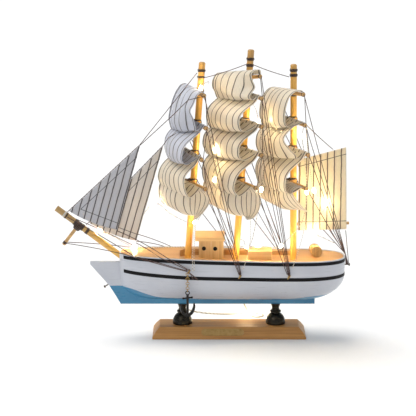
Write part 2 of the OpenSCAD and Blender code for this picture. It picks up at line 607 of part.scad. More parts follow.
module coin_cells() color("silver") for (z = [wall + 0.9, wall + 4.15])
    translate([box_x + box_l - wall - 11, box_y + box_w/2, z]) cylinder(h = 3.2, d = 20);
module battery_contacts() color("#c9a24f") {
    translate([box_x + box_l - wall - 24, box_y + box_w/2 - 4, wall + 0.02]) cube([22, 8, 0.8]);
    translate([box_x + box_l - wall - 23.4, box_y + box_w/2 - 3, wall + 0.86]) cube([0.6, 6, 6]);
    translate([switch_x + 1, box_y + wall + 1.9, 3.4]) cube([6, 0.5, 4.4]);
}
module switch_slider() color("#20201f") {
    translate([switch_x + 0.3, box_y - 1.1, 4.6]) cube([3.4, wall + 1.5, 2]);
    translate([switch_x - 0.6, box_y + wall + 0.3, 3.8]) cube([5.4, 1.2, 3.6]);
}
module lead_grommet() color("#e4e4e0") difference() {
    union() {
        translate([box_x - 2.2, 109, 3.5]) rotate([0, 90, 0]) cylinder(h = 2.2, d = 3.6);
        translate([box_x - 0.1, 109, 3.5]) rotate([0, 90, 0]) cylinder(h = wall + 0.1, d = 2.56);
    }
    translate([box_x - 3, 109, 3.5]) rotate([0, 90, 0]) cylinder(h = 6, d = 1.3);
}

base_block();
name_plate();
pedestal_fore();
pedestal_aft();
pedestal_screws();
hull();
keel_board();
deck_board();
deckhouse_fore();
deckhouse_aft();
deckhouse_roof();
portholes();
hatch_block();
stern_barrel();
mast_fore();
mast_main();
mast_mizzen();
bowsprit();
dolphin_striker();
fore_yards();
main_yards();
mizzen_yards();
gaff();
boom();
mast_lashings();
yard_lashings();
bowsprit_lashings();
fore_sail_1();
fore_sail_2();
fore_sail_3();
fore_sail_4();
main_sail_1();
main_sail_2();
main_sail_3();
main_sail_4();
main_sail_5();
mizzen_sail_1();
mizzen_sail_2();
mizzen_sail_3();
mizzen_sail_4();
jib_outer();
jib_inner();
spanker();
screw_eyes();
hull_nails();
anchor_chain();
anchor();
rigging_port();
rigging_starboard();
rigging_stays();
led_wire();
led_drops();
led_lead();
lead_led();
lead_grommet();
battery_case();
battery_cover();
coin_cells();
battery_contacts();
switch_slider();
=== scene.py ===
"""Three-masted model sailing ship on a stand, lit by a battery string of lights.
Lengths are in millimetres until mm() turns them into metres. The bow points to -X, port to -Y."""
import math

import bpy
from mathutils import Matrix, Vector, noise


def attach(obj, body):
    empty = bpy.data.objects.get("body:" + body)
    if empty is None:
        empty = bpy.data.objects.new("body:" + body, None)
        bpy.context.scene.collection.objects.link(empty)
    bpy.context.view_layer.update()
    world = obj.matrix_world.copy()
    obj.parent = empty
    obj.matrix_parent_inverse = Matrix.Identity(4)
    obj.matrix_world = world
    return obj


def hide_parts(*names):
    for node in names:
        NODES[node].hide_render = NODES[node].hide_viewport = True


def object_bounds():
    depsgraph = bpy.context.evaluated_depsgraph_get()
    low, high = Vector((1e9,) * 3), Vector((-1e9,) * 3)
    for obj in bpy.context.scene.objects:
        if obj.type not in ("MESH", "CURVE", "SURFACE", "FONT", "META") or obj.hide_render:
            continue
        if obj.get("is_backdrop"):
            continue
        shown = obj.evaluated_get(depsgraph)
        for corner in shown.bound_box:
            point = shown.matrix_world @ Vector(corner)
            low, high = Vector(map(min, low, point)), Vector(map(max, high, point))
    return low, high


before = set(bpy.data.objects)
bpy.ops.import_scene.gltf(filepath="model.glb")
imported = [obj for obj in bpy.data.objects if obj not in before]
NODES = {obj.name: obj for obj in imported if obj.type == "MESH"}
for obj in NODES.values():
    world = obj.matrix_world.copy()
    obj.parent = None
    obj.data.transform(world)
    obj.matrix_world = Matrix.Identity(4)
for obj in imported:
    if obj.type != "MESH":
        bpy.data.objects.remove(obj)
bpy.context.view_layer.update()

MM = 0.001


def mm(*values):
    """A point or a size given in millimetres, in metres."""
    return Vector(values) * MM if len(values) > 1 else values[0] * MM


def lerp(a, b, t):
    return a + (b - a) * t


def ease(t):
    """0 to 1 with a soft start and end."""
    t = min(1.0, max(0.0, t))
    return t * t * (3 - 2 * t)


def around(points, i):
    """The point before i, point i and the two after it, with the line's ends used twice."""
    return points[max(i - 1, 0)], points[i], points[i + 1], points[min(i + 2, len(points) - 1)]


def curved(a, b, c, e, t):
    """The smooth curve between b and c, for numbers or vectors. a and e are the points beyond them."""
    square, cube = 2 * a - 5 * b + 4 * c - e, 3 * b - a - 3 * c + e
    return 0.5 * (2 * b + (c - a) * t + square * t * t + cube * t ** 3)


def smooth(route, steps):
    """Points on a smooth curve through the route's points."""
    out = []
    for i in range(len(route) - 1):
        for k in range(steps):
            out.append(tuple(curved(*near, k / steps) for near in zip(*around(route, i))))
    return out + [tuple(route[-1])]


def through(points, t):
    """A point of the smooth curve through the points, t from 0 to 1."""
    t = min(0.99999, max(0, t)) * (len(points) - 1)
    i = int(t)
    return curved(*around(points, i), t - i)


def add_object(name, data):
    made = bpy.data.objects.new(name, data)
    bpy.context.scene.collection.objects.link(made)
    return made


# ---- Camera
CAMERA_AT = mm(-17.37, -1309.03, 387.03)
CAMERA_TILT = 12.1
FOCAL_LENGTH = 141.92

camera = add_object("camera", bpy.data.cameras.new("camera"))
camera.data.lens = FOCAL_LENGTH
camera.data.clip_start, camera.data.clip_end = 0.05, 50
camera.location = CAMERA_AT
camera.rotation_euler = (math.radians(90 - CAMERA_TILT), 0, 0)
bpy.context.scene.camera = camera


# ---- Materials
class Finish:
    """One node material: a Principled surface whose inputs come from procedural nodes."""

    def __init__(self, name):
        self.material = bpy.data.materials.new(name)
        self.material.use_nodes = True
        self.tree = self.material.node_tree
        self.surface = self.tree.nodes["Principled BSDF"]
        self.output = self.tree.nodes["Material Output"]
        self.place = self.node("ShaderNodeTexCoord").outputs["Object"]

    def node(self, kind, values=None, **settings):
        made = self.tree.nodes.new(kind)
        for key, value in settings.items():
            setattr(made, key, value)
        for key, value in (values or {}).items():
            self.feed(made.inputs[key], value)
        return made

    def feed(self, socket, value):
        if isinstance(value, bpy.types.NodeSocket):
            self.tree.links.new(value, socket)
        elif hasattr(value, "__len__") and socket.type == "RGBA" and len(value) == 3:
            socket.default_value = (*value, 1)
        else:
            socket.default_value = value

    def set(self, **values):
        for key, value in values.items():
            self.feed(self.surface.inputs[key.replace("_", " ")], value)

    def stretched(self, x, y, z, start=None):
        values = {"Vector": start or self.place, "Scale": (x, y, z)}
        return self.node("ShaderNodeMapping", values).outputs[0]

    def noise(self, scale, detail=3, roughness=0.5, at=None, twist=0.0):
        return self.node("ShaderNodeTexNoise", {
            "Vector": at or self.place, "Scale": scale, "Detail": detail,
            "Roughness": roughness, "Distortion": twist}).outputs["Fac"]

    def math(self, operation, a, b=0.0):
        return self.node("ShaderNodeMath", {0: a, 1: b}, operation=operation).outputs[0]

    def sum(self, a, a_share, b, b_share):
        return self.math("ADD", self.math("MULTIPLY", a, a_share), self.math("MULTIPLY", b, b_share))

    def span(self, value, low, high, to_low=0.0, to_high=1.0):
        values = {"Value": value, "From Min": low, "From Max": high, "To Min": to_low, "To Max": to_high}
        return self.node("ShaderNodeMapRange", values).outputs[0]

    def ramp(self, value, *stops):
        made = self.node("ShaderNodeValToRGB", {"Fac": value})
        elements = made.color_ramp.elements
        while len(elements) < len(stops):
            elements.new(0.5)
        for element, (position, colour) in zip(elements, stops):
            element.position, element.color = position, (*colour, 1)
        return made.outputs[0]

    def mix(self, share, a, b):
        return self.node("ShaderNodeMix", {0: share, 6: a, 7: b}, data_type="RGBA").outputs[2]

    def bump(self, height, distance, strength):
        values = {"Height": height, "Distance": distance, "Strength": strength}
        return self.node("ShaderNodeBump", values).outputs[0]

    def waves(self, scale, distortion):
        """Slanting bands, as the turns of a thread or of a twisted wire."""
        values = {"Vector": self.place, "Scale": scale, "Distortion": distortion, "Detail": 2}
        return self.node("ShaderNodeTexWave", values, bands_direction="DIAGONAL").outputs["Fac"]


def wood(name, dark, light, along="X", pitch=1.6, gloss=0.38, ends=None):
    """Plain-sawn softwood: long grain lines along one axis, fine pores and a few darker patches."""
    f = Finish(name)
    length, width = 14, 1000 / pitch
    scale = {"X": (length, width, width), "Y": (width, length, width), "Z": (width, width, length)}[along]
    grain_place = f.stretched(*scale)
    rings = f.noise(0.55, 2, 0.45, grain_place, 0.6)
    fibres = f.noise(2.6, 4, 0.7, grain_place)
    patches = f.noise(38, 2)
    tone = f.sum(rings, 0.62, fibres, 0.38)
    middle = [lerp(dark[k], light[k], 0.62) for k in range(3)]
    colour = f.ramp(tone, (0.30, dark), (0.47, middle), (0.62, light))
    patch = [0.80 * middle[0], 0.74 * middle[1], 0.66 * middle[2]]
    colour = f.mix(f.span(patches, 0.52, 0.78, 0, 0.45), colour, patch)
    # ends darkens the colour towards one end along an axis: on the bowsprit the wood's own darker end, on the
    # masts partly painted shade
    if ends is not None:
        axis, start, stop, shade = ends
        place = f.node("ShaderNodeSeparateXYZ", {0: f.place}).outputs[axis]
        colour = f.mix(f.span(place, start * MM, stop * MM, 0, 0.75), colour, shade)
    f.set(Base_Color=colour, Roughness=f.span(fibres, 0.2, 0.8, gloss, gloss + 0.22),
          Normal=f.bump(tone, 0.00012, 0.55), Specular_IOR_Level=0.45)
    return f.material


def metal(name, colour, stain, rough, metallic=1.0, scratch=0.4):
    """Metal with stains, fine scratches and uneven polish."""
    f = Finish(name)
    clouds = f.noise(320, 4, 0.6)
    lines = f.noise(900, 3, 0.6, f.stretched(0.3, 1, 3))
    f.set(Base_Color=f.mix(f.span(clouds, 0.42, 0.72, 0, 0.85), colour, stain),
          Metallic=metallic, Roughness=f.span(lines, 0.25, 0.75, rough, rough + 0.22),
          Normal=f.bump(f.math("ADD", clouds, lines), 0.00006, scratch))
    return f.material


def plastic(name, colour, rough=0.42):
    """Moulded plastic: a faint spark-eroded texture and slight colour drift."""
    f = Finish(name)
    grain = f.noise(2600, 2, 0.5)
    drift = f.noise(90, 3)
    darker = [0.86 * k for k in colour]
    f.set(Base_Color=f.mix(f.span(drift, 0.4, 0.75, 0, 0.6), colour, darker),
          Roughness=f.span(grain, 0.3, 0.7, rough, rough + 0.15), Normal=f.bump(grain, 0.00003, 0.35))
    return f.material


def paint(f, colour):
    """Semi-gloss brushed paint over wood, for the surface colour given."""
    brush = f.noise(1, 3, 0.6, f.stretched(60, 60, 700))
    wood_under = f.noise(1, 3, 0.6, f.stretched(18, 420, 420))
    specks = f.noise(700, 2, 0.5)
    worn = f.mix(f.span(specks, 0.70, 0.80, 0, 0.5), colour, (0.33, 0.32, 0.31))
    height = f.sum(brush, 0.5, wood_under, 0.8)
    f.set(Base_Color=worn, Roughness=f.span(brush, 0.3, 0.7, 0.24, 0.40),
          Normal=f.bump(height, 0.00012, 0.45), Coat_Weight=0.25, Coat_Roughness=0.18)


HULL_WHITE, HULL_SHADE = (0.56, 0.58, 0.63), (0.48, 0.50, 0.56)
BOTTOM_BLUE, BOTTOM_DEEP = (0.045, 0.27, 0.46), (0.02, 0.155, 0.30)


def hull_finish(name, height_of_line):
    """White above a line and blue below it. height_of_line(f) gives the height above the line, in mm."""
    f = Finish(name)
    drift = f.noise(26, 3)
    white = f.mix(f.span(drift, 0.35, 0.75), HULL_WHITE, HULL_SHADE)
    blue = f.mix(f.span(drift, 0.35, 0.7), BOTTOM_BLUE, BOTTOM_DEEP)
    wobble = f.span(f.noise(160, 2), 0, 1, -0.25, 0.25)
    edge = f.span(f.math("ADD", height_of_line(f), wobble), -0.12, 0.12)
    paint(f, f.mix(edge, blue, white))
    return f.material


def line_above(f):
    return f.node("ShaderNodeAttribute", attribute_name="above_line").outputs["Fac"]


def keel_line(f):
    height = f.node("ShaderNodeSeparateXYZ", {0: f.place}).outputs[2]
    return f.math("SUBTRACT", f.math("MULTIPLY", height, 1000), 41.5)


YARN = 0.42                         # distance between two threads of the weave


def cloth(name, tint, pitch, first, hem, hem_width, line_width, see_through):
    """Thin starched cotton. The UV map holds the distance across the cloth and along it, in mm:
    dark woven lines run along it. The attribute 'hem' is the distance from a stitched edge."""
    f = Finish(name)
    uv = f.node("ShaderNodeUVMap", uv_map="cloth").outputs[0]
    parts = f.node("ShaderNodeSeparateXYZ", {0: uv})
    across, down = parts.outputs[0], parts.outputs[1]
    edge = f.node("ShaderNodeAttribute", attribute_name="hem").outputs["Fac"]
    warp = f.math("SINE", f.math("MULTIPLY", across, 2 * math.pi / YARN))
    weft = f.math("SINE", f.math("MULTIPLY", down, 2 * math.pi / YARN))
    weave = f.math("MULTIPLY", warp, weft)
    slubs = f.noise(1, 3, 0.6, f.stretched(2.4, 0.35, 1, uv))
    clouds = f.noise(0.06, 3, 0.55, uv)
    wander = f.span(f.noise(0.12, 2, 0.5, uv), 0, 1, -0.5, 0.5)
    phase = f.math("ADD", f.math("SUBTRACT", across, first - pitch / 2), wander)
    offset = f.math("ABSOLUTE", f.math("SUBTRACT", f.math("MODULO", phase, pitch), pitch / 2))
    woven = f.span(offset, 0.5 * line_width, 0.5 * line_width + 0.22, 1, 0)
    seam_offset = f.math("ABSOLUTE", f.math("SUBTRACT", edge, hem))
    seam = f.span(seam_offset, 0.5 * hem_width, 0.5 * hem_width + 0.2, 1, 0)
    dashes = f.span(weft, -0.8, 0.2, 0.62, 1)
    lines = f.math("MULTIPLY", f.math("MAXIMUM", woven, seam), dashes)
    thin = f.mix(f.span(slubs, 0.35, 0.7), tint, [0.86 * k for k in tint])
    thin = f.mix(f.span(clouds, 0.4, 0.75, 0, 0.55), thin, [0.90 * tint[0], 0.86 * tint[1], 0.80 * tint[2]])
    beside = f.span(offset, 0.5 * line_width + 0.3, 0.5 * line_width + 1.5, 0.2, 0)
    thin = f.mix(beside, thin, [0.84 * tint[0], 0.72 * tint[1], 0.58 * tint[2]])
    colour = f.mix(lines, thin, (0.022, 0.016, 0.019))
    height = f.sum(weave, 0.5, lines, 0.9)
    normal = f.bump(height, 0.00009, 0.5)
    f.set(Base_Color=colour, Roughness=f.span(slubs, 0.2, 0.8, 0.78, 0.95), Normal=normal,
          Sheen_Weight=0.25, Sheen_Roughness=0.5, Specular_IOR_Level=0.2)
    behind = f.node("ShaderNodeBsdfTranslucent", {"Color": colour, "Normal": normal})
    both = f.node("ShaderNodeMixShader", {0: see_through, 1: f.surface.outputs[0], 2: behind.outputs[0]})
    f.tree.links.new(both.outputs[0], f.output.inputs["Surface"])
    return f.material


def thread(name, dark, light):
    """Twisted sewing thread: plies, fuzz and uneven dye."""
    f = Finish(name)
    plies = f.waves(420, 1.5)
    dye = f.noise(180, 3)
    tone = f.sum(plies, 0.5, dye, 0.5)
    f.set(Base_Color=f.ramp(tone, (0.25, dark), (0.75, light)), Roughness=f.span(plies, 0, 1, 0.7, 0.9),
          Normal=f.bump(plies, 0.00008, 0.6), Sheen_Weight=0.3)
    return f.material


def light_wire(name):
    """Copper wire under a clear coat, as on a battery light string."""
    f = Finish(name)
    twist = f.waves(260, 1.0)
    haze = f.noise(240, 3)
    tone = f.sum(twist, 0.6, haze, 0.4)
    f.set(Base_Color=f.ramp(tone, (0.2, (0.42, 0.33, 0.22)), (0.8, (0.84, 0.78, 0.66))),
          Roughness=f.span(twist, 0, 1, 0.22, 0.4), Normal=f.bump(twist, 0.0001, 0.5),
          Coat_Weight=0.6, Coat_Roughness=0.12)
    return f.material


LIT = (1.0, 0.78, 0.42)


def light_drop(name, strength):
    """Clear resin with the lit chip glowing through it."""
    f = Finish(name)
    bubbles = f.noise(900, 3)
    f.set(Base_Color=f.ramp(bubbles, (0.3, (1.0, 0.80, 0.48)), (0.7, (1.0, 0.93, 0.74))),
          Roughness=f.span(bubbles, 0.3, 0.7, 0.06, 0.2), Normal=f.bump(bubbles, 0.00008, 0.4),
          Emission_Color=LIT, Emission_Strength=strength)
    return f.material


def black_line(name):
    """Satin black line paint with a slightly uneven sheen."""
    f = Finish(name)
    streak = f.noise(1, 3, 0.6, f.stretched(30, 300, 500))
    f.set(Base_Color=f.ramp(streak, (0.3, (0.003, 0.003, 0.004)), (0.8, (0.012, 0.0115, 0.012))),
          Roughness=f.span(streak, 0.2, 0.8, 0.38, 0.55), Normal=f.bump(streak, 0.0001, 0.4),
          Specular_IOR_Level=0.12)
    return f.material


STAND_WOOD = wood("stand_wood", (0.32, 0.13, 0.035), (0.58, 0.29, 0.08), "X", 2.0, 0.34)
DECK_WOOD = wood("deck_wood", (0.38, 0.19, 0.065), (0.60, 0.36, 0.15), "X", 1.5, 0.36)
HOUSE_WOOD = wood("house_wood", (0.62, 0.33, 0.11), (0.88, 0.58, 0.24), "Z", 1.3, 0.40)
ROOF_WOOD = wood("roof_wood", (0.66, 0.36, 0.12), (0.90, 0.60, 0.26), "X", 1.3, 0.38)
BARREL_WOOD = wood("barrel_wood", (0.40, 0.22, 0.07), (0.72, 0.46, 0.17), "Z", 1.1, 0.5)
# The masts darken towards their tops, partly the wood's own darker ends and partly painted shade
MAST_WOOD = wood("mast_wood", (0.70, 0.33, 0.05), (0.92, 0.52, 0.11), "Z", 1.0, 0.26,
                 ends=(2, 200, 232, (0.38, 0.22, 0.08)))
SPRIT_WOOD = wood("sprit_wood", (0.66, 0.32, 0.06), (0.92, 0.55, 0.14), "X", 1.0, 0.28,
                  ends=(0, -100, -128, (0.30, 0.21, 0.11)))
YARD_WOOD = wood("yard_wood", (0.42, 0.23, 0.08), (0.74, 0.45, 0.17), "Y", 0.9, 0.42)
STICK_WOOD = wood("stick_wood", (0.40, 0.24, 0.10), (0.70, 0.44, 0.19), "X", 0.9, 0.45)
HULL_PAINT = hull_finish("hull_paint", line_above)
KEEL_PAINT = hull_finish("keel_paint", keel_line)
STRIPE_PAINT = black_line("stripe_paint")
BLACK_PAINT = black_line("black_paint")
THREAD = thread("thread", (0.026, 0.010, 0.007), (0.115, 0.048, 0.032))
PALE_THREAD = thread("pale_thread", (0.42, 0.38, 0.32), (0.82, 0.79, 0.72))
LASHING = thread("lashing", (0.016, 0.008, 0.005), (0.085, 0.045, 0.028))
BRASS = metal("brass", (0.50, 0.32, 0.10), (0.24, 0.14, 0.045), 0.26)
STEEL = metal("steel", (0.55, 0.54, 0.52), (0.30, 0.29, 0.28), 0.28)
NAIL = metal("nail", (0.16, 0.14, 0.12), (0.07, 0.05, 0.04), 0.35)
BRONZE = metal("bronze", (0.020, 0.018, 0.014), (0.050, 0.037, 0.015), 0.15, 0.75, 0.12)
IRON = metal("iron", (0.012, 0.012, 0.012), (0.03, 0.026, 0.022), 0.3, 0.6)
PLATE = metal("plate", (0.50, 0.32, 0.12), (0.36, 0.21, 0.07), 0.34, 0.85, 0.2)
WIRE = light_wire("wire")
DROP = light_drop("drop", 60)
WHITE_PLASTIC = plastic("white_plastic", (0.80, 0.80, 0.77))
BLACK_PLASTIC = plastic("black_plastic", (0.022, 0.022, 0.023), 0.36)


# ---- Mesh helpers
def beside(along):
    """A direction square to along."""
    guide = Vector((0, 0, 1)) if abs(along.z) < 0.9 else Vector((1, 0, 0))
    return along.cross(guide).normalized()


class Shape:
    """Points and faces of one piece, gathered from tubes, grids and drops, in mm."""

    def __init__(self):
        self.points, self.faces = [], []

    def grid(self, rows, wrap=False, caps=True):
        """A skin over equal rows of points; wrap closes each row, and caps closes the two ends."""
        start, width = len(self.points), len(rows[0])
        for row in rows:
            self.points.extend(tuple(p) for p in row)
        for i in range(len(rows) - 1):
            for k in range(width if wrap else width - 1):
                a, b = start + i * width + k, start + i * width + (k + 1) % width
                self.faces.append((a, b, b + width, a + width))
        if wrap and caps:
            last = start + (len(rows) - 1) * width
            self.faces.append(tuple(start + k for k in reversed(range(width))))
            self.faces.append(tuple(last + k for k in range(width)))

    def tube(self, route, radius, sides=8, closed=False):
        """A round skin along a route. radius is one number, or one for each point."""
        line = [Vector(p) for p in route]
        count = len(line)
        radii = radius if hasattr(radius, "__len__") else [radius] * count
        rows, side = [], None
        for i, p in enumerate(line):
            before = line[i - 1] if closed or i else line[0]
            after = line[(i + 1) % count] if closed or i + 1 < count else line[-1]
            along = (after - before).normalized()
            if side is None:
                side = beside(along)
            side = (side - along * side.dot(along)).normalized()
            other = along.cross(side)
            angles = [2 * math.pi * k / sides for k in range(sides)]
            rows.append([p + radii[i] * (math.cos(a) * side + math.sin(a) * other) for a in angles])
        if closed:
            rows.append(rows[0])
        self.grid(rows, wrap=True, caps=not closed)

    def drop(self, at, along, half_length, radius, seed=0.0):
        """A lumpy drop of resin around a point of the wire."""
        rings, sides = 9, 14
        along = Vector(along).normalized()
        side = beside(along)
        other = along.cross(side)
        rows = []
        for i in range(rings):
            a = math.pi * (0.06 + 0.88 * i / (rings - 1))
            row = []
            for k in range(sides):
                b = 2 * math.pi * k / sides
                out = math.sin(a) * (math.cos(b) * side + math.sin(b) * other)
                lump = 1 + 0.14 * noise.noise(out * 1.7 + Vector((seed, 0, i * 0.2)))
                row.append(Vector(at) - along * half_length * math.cos(a) + out * radius * lump)
            rows.append(row)
        self.grid(rows, wrap=True)

    def make(self, name, material, sharp=35):
        mesh = bpy.data.meshes.new(name)
        mesh.from_pydata([Vector(p) * MM for p in self.points], [], self.faces)
        mesh.materials.append(material)
        mesh.polygons.foreach_set("use_smooth", [True] * len(mesh.polygons))
        mesh.set_sharp_from_angle(angle=math.radians(sharp))
        mesh.validate()
        return add_object(name, mesh)


def apply_modifiers(obj):
    """Bakes the modifiers into the mesh."""
    graph = bpy.context.evaluated_depsgraph_get()
    mesh = bpy.data.meshes.new_from_object(obj.evaluated_get(graph))
    mesh.name = obj.name
    obj.modifiers.clear()
    obj.data = mesh


def piece(obj, slot, *nodes, body="ship"):
    """obj rides on a body and stands for these CAD nodes. slot is not used."""
    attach(obj, body)
    if nodes:
        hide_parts(*nodes)
    return obj


# ---- Cord: the lead from the rail to the battery box behind the stand
LEAD_ROUTE = [
    (9.6, 28.6, 52), (9.6, 29.4, 46), (10, 30.6, 36), (11.4, 32.4, 25), (14, 35, 14), (17.6, 38.6, 6),
    (22, 43, 1.8), (26.6, 47.4, 0.7), (30, 52, 0.6), (29, 57, 0.6), (24, 60, 0.6), (17, 60, 0.6),
    (8, 58, 0.6), (-2, 57, 0.6), (-12, 58, 0.6), (-22, 61, 0.6), (-30, 66, 0.6), (-36, 73, 0.6),
    (-39, 81, 0.6), (-39, 90, 0.6), (-37, 98, 0.8), (-33, 104.4, 1.6), (-28.4, 108.2, 2.8),
    (-24.4, 109, 3.5), (-20.6, 109, 3.5)]
LEAD_D = 1.2
LEAD_LIGHT = 11                     # the route's point that holds the lead's own light

curve = bpy.data.curves.new("lead", "CURVE")
curve.dimensions = "3D"
curve.bevel_depth = mm(LEAD_D / 2)
curve.bevel_resolution = 3
curve.use_fill_caps = True
lead_line = smooth(LEAD_ROUTE, 5)
spline = curve.splines.new("POLY")
spline.points.add(len(lead_line) - 1)
for point, place in zip(spline.points, lead_line):
    point.co = (*mm(*place), 1)
spline.use_smooth = True
curve.materials.append(WIRE)
lead = add_object("lead", curve)
piece(lead, "light_wire", "led_lead")

light_on_lead = Shape()
light_at, light_next = LEAD_ROUTE[LEAD_LIGHT], LEAD_ROUTE[LEAD_LIGHT + 1]
light_on_lead.drop(Vector(light_at) + Vector((0, 0, 0.9)), Vector(light_next) - Vector(light_at), 2.3, 1.4)
lead_drop = piece(light_on_lead.make("lead_drop", DROP), "light_drop", "lead_led")

# ---- The ship's own measures
RIM_Z, SHEER_RISE, BEAM = 66.8, 3.4, 47.6
RIM_W, DECK_DROP, DECK_T = 1.2, 0.4, 2
BOTTOM_Z, FLAT_HALF, BOW_LIFT, STERN_LIFT = 30, 62, 15, 21.5       # the keel line: level amidships
FULL_FORE, FULL_AFT = -20, 60       # the midship section runs between these
BOW_FULLNESS, FULLNESS, STERN_FULLNESS = 1.3, 2.3, 1.8
PAINT_Z, PAINT_BOW_RISE, PAINT_STERN_RISE = 32.2, 9, 3
STEM_X, STERN_X, BOW_START, STERN_START, SHEER_START = -90, 95, -10, 50, 35
WELL_FORE, WELL_AFT, WELL_HALF, WELL_CORNER, WELL_BASE = -41.9, 56.9, 17.8, 10.3, 61.7
DECK_Z = RIM_Z - DECK_DROP
MAST_D, YARD_D, SPRIT_D, THREAD_D = 5.3, 3, 5, 0.64
MAST_FOOT = [(-33.9, DECK_Z), (5.5, DECK_Z), (52.6, DECK_Z)]
MAST_TOP = [(-22, 226), (17.1, 236), (51.3, 224.3)]
YARD_Z = [[202.5, 177, 152, 128.6], [213.7, 200.8, 178.5, 156, 130], [201.5, 179.5, 156, 129]]
YARD_L = [[54, 60, 64, 68], [50, 62, 67, 72, 73], [56, 62, 67, 68]]
BRACE = [[16, 21, 17, 24], [40, 27, 28.5, 28.5, 24], [22, 22, 25, 22]]
TOP_ROLL = [0, -9, -4.3]            # slope of each mast's top yard, down to starboard
TOP_SHIFT = [0, 6, 0]               # how far a mast's top yard sits to starboard of its lashing
YARD_GAP = MAST_D / 2 + YARD_D / 2 + 0.05
MAST_BANDS = [[6.8, 12.2], [7.5, 12.5], [4.8, 8.8]]


def sheer(x):
    return RIM_Z + SHEER_RISE * max(0, SHEER_START - x) / (SHEER_START - STEM_X)


def half_breadth(x):
    if x < BOW_START:
        return BEAM / 2 * max(0, 1 - ((BOW_START - x) / (BOW_START - STEM_X)) ** 1.8) ** 0.3
    if x > STERN_START:
        return BEAM / 2 * max(0, 1 - ((x - STERN_START) / (STERN_X - STERN_START)) ** 2.5) ** 0.4
    return BEAM / 2


def bottom(x):
    """Height of the hull's underside."""
    past = abs(x) - FLAT_HALF
    if past <= 0:
        return BOTTOM_Z
    lift, end = (BOW_LIFT, -STEM_X) if x < 0 else (STERN_LIFT, STERN_X)
    return BOTTOM_Z + lift * (1 - math.sqrt(max(0, 1 - (past / (end - FLAT_HALF)) ** 2)))


def fullness(x):
    """How square the hull's section is."""
    if x < FULL_FORE:
        return lerp(BOW_FULLNESS, FULLNESS, ((x - STEM_X) / (FULL_FORE - STEM_X)) ** 0.8)
    return lerp(FULLNESS, STERN_FULLNESS, max(0, (x - FULL_AFT) / (STERN_X - FULL_AFT)))


def side_y(x, z):
    """Half the hull's breadth at a height."""
    s = min(1, max(0, (z - bottom(x)) / (sheer(x) - bottom(x))))
    n = fullness(x)
    return half_breadth(x) * (1 - (1 - s) ** n) ** (1 / n)


def mast_at(m, z):
    t = (z - MAST_FOOT[m][1]) / (MAST_TOP[m][1] - MAST_FOOT[m][1])
    return Vector((lerp(MAST_FOOT[m][0], MAST_TOP[m][0], t), 0, z))


def mast_axis(m):
    return (mast_at(m, MAST_TOP[m][1]) - mast_at(m, DECK_Z)).normalized()


def turned(x, y, angle):
    a = math.radians(angle)
    return Vector((x * math.cos(a) - y * math.sin(a), x * math.sin(a) + y * math.cos(a), 0))


def yard_hub(m, i):
    return mast_at(m, YARD_Z[m][i]) + turned(-YARD_GAP, 0, BRACE[m][i])


def along_yard(m, i, distance):
    roll = math.radians(TOP_ROLL[m] if i == 0 else 0)
    return turned(0, distance * math.cos(roll), BRACE[m][i]) + Vector((0, 0, distance * math.sin(roll)))


def yard_mid(m, i):
    return yard_hub(m, i) + along_yard(m, i, TOP_SHIFT[m] if i == 0 else 0)


def yard_end(m, i, side, beyond=0.6):
    return yard_mid(m, i) + along_yard(m, i, side * (YARD_L[m][i] / 2 + beyond))


# ---- Hull
def paint_line(x):
    """Height of the line between the white and the blue."""
    bow = 0.5 + 0.5 * math.cos(math.pi * min(1, max(0, (x - STEM_X) / 40)))
    return PAINT_Z + PAINT_BOW_RISE * bow + PAINT_STERN_RISE * ease((x - 45) / 27)


def hull_station(x, inside):
    """One closed ring of the hull: round the skin from rim to rim, then back inside the rim."""
    levels = 22
    ring = []
    for k in range(-levels, levels + 1):
        s = (abs(k) / levels) ** 1.3
        n = fullness(x)
        y = half_breadth(x) * (1 - (1 - s) ** n) ** (1 / n)
        ring.append((x, math.copysign(y, k) if k else 0, lerp(bottom(x), sheer(x), s)))
    slope = min(3, abs(half_breadth(x + 0.3) - half_breadth(x - 0.3)) / 0.6)
    inner = max(0.25, half_breadth(x) - (RIM_W + 0.02) * math.hypot(1, slope))
    top, deck = sheer(x), sheer(x) - DECK_DROP - DECK_T
    past = max(WELL_FORE + WELL_CORNER - x, x - WELL_AFT + WELL_CORNER, 0)
    in_well = WELL_FORE < x < WELL_AFT
    well = WELL_HALF - WELL_CORNER + math.sqrt(max(0, WELL_CORNER ** 2 - past ** 2))
    low = WELL_BASE if in_well else deck
    section = [(inner, top), (inner, deck), (min(well, inner - 0.1), deck), (min(well, inner - 0.1), low)]
    if not inside:
        section = [(point[0], top) for point in section]
    ring.extend((x, y, z) for y, z in section)
    ring.extend((x, -y, z) for y, z in reversed(section))
    return ring


hull_shape = Shape()
deck_ends = (STEM_X + RIM_W + 0.05, STERN_X - RIM_W - 0.15)
stations = [lerp(STEM_X + 0.03, STERN_X - 0.01, lerp(t, (1 - math.cos(math.pi * t)) / 2, 0.8))
            for t in (k / 110 for k in range(111))]
stations = sorted(stations + [x + step for x in (*deck_ends, WELL_FORE, WELL_AFT) for step in (-0.01, 0.01)])
hull_shape.grid([hull_station(x, deck_ends[0] < x < deck_ends[1]) for x in stations], wrap=True)
hull = hull_shape.make("hull_shell", HULL_PAINT, 40)
above = hull.data.attributes.new("above_line", "FLOAT", "POINT")
above.data.foreach_set("value", [v.co.z / MM - paint_line(v.co.x / MM) for v in hull.data.vertices])
piece(hull, "hull_paint", "hull")


STRIPE_START, STRIPE_PROUD = -86.2, 0.14


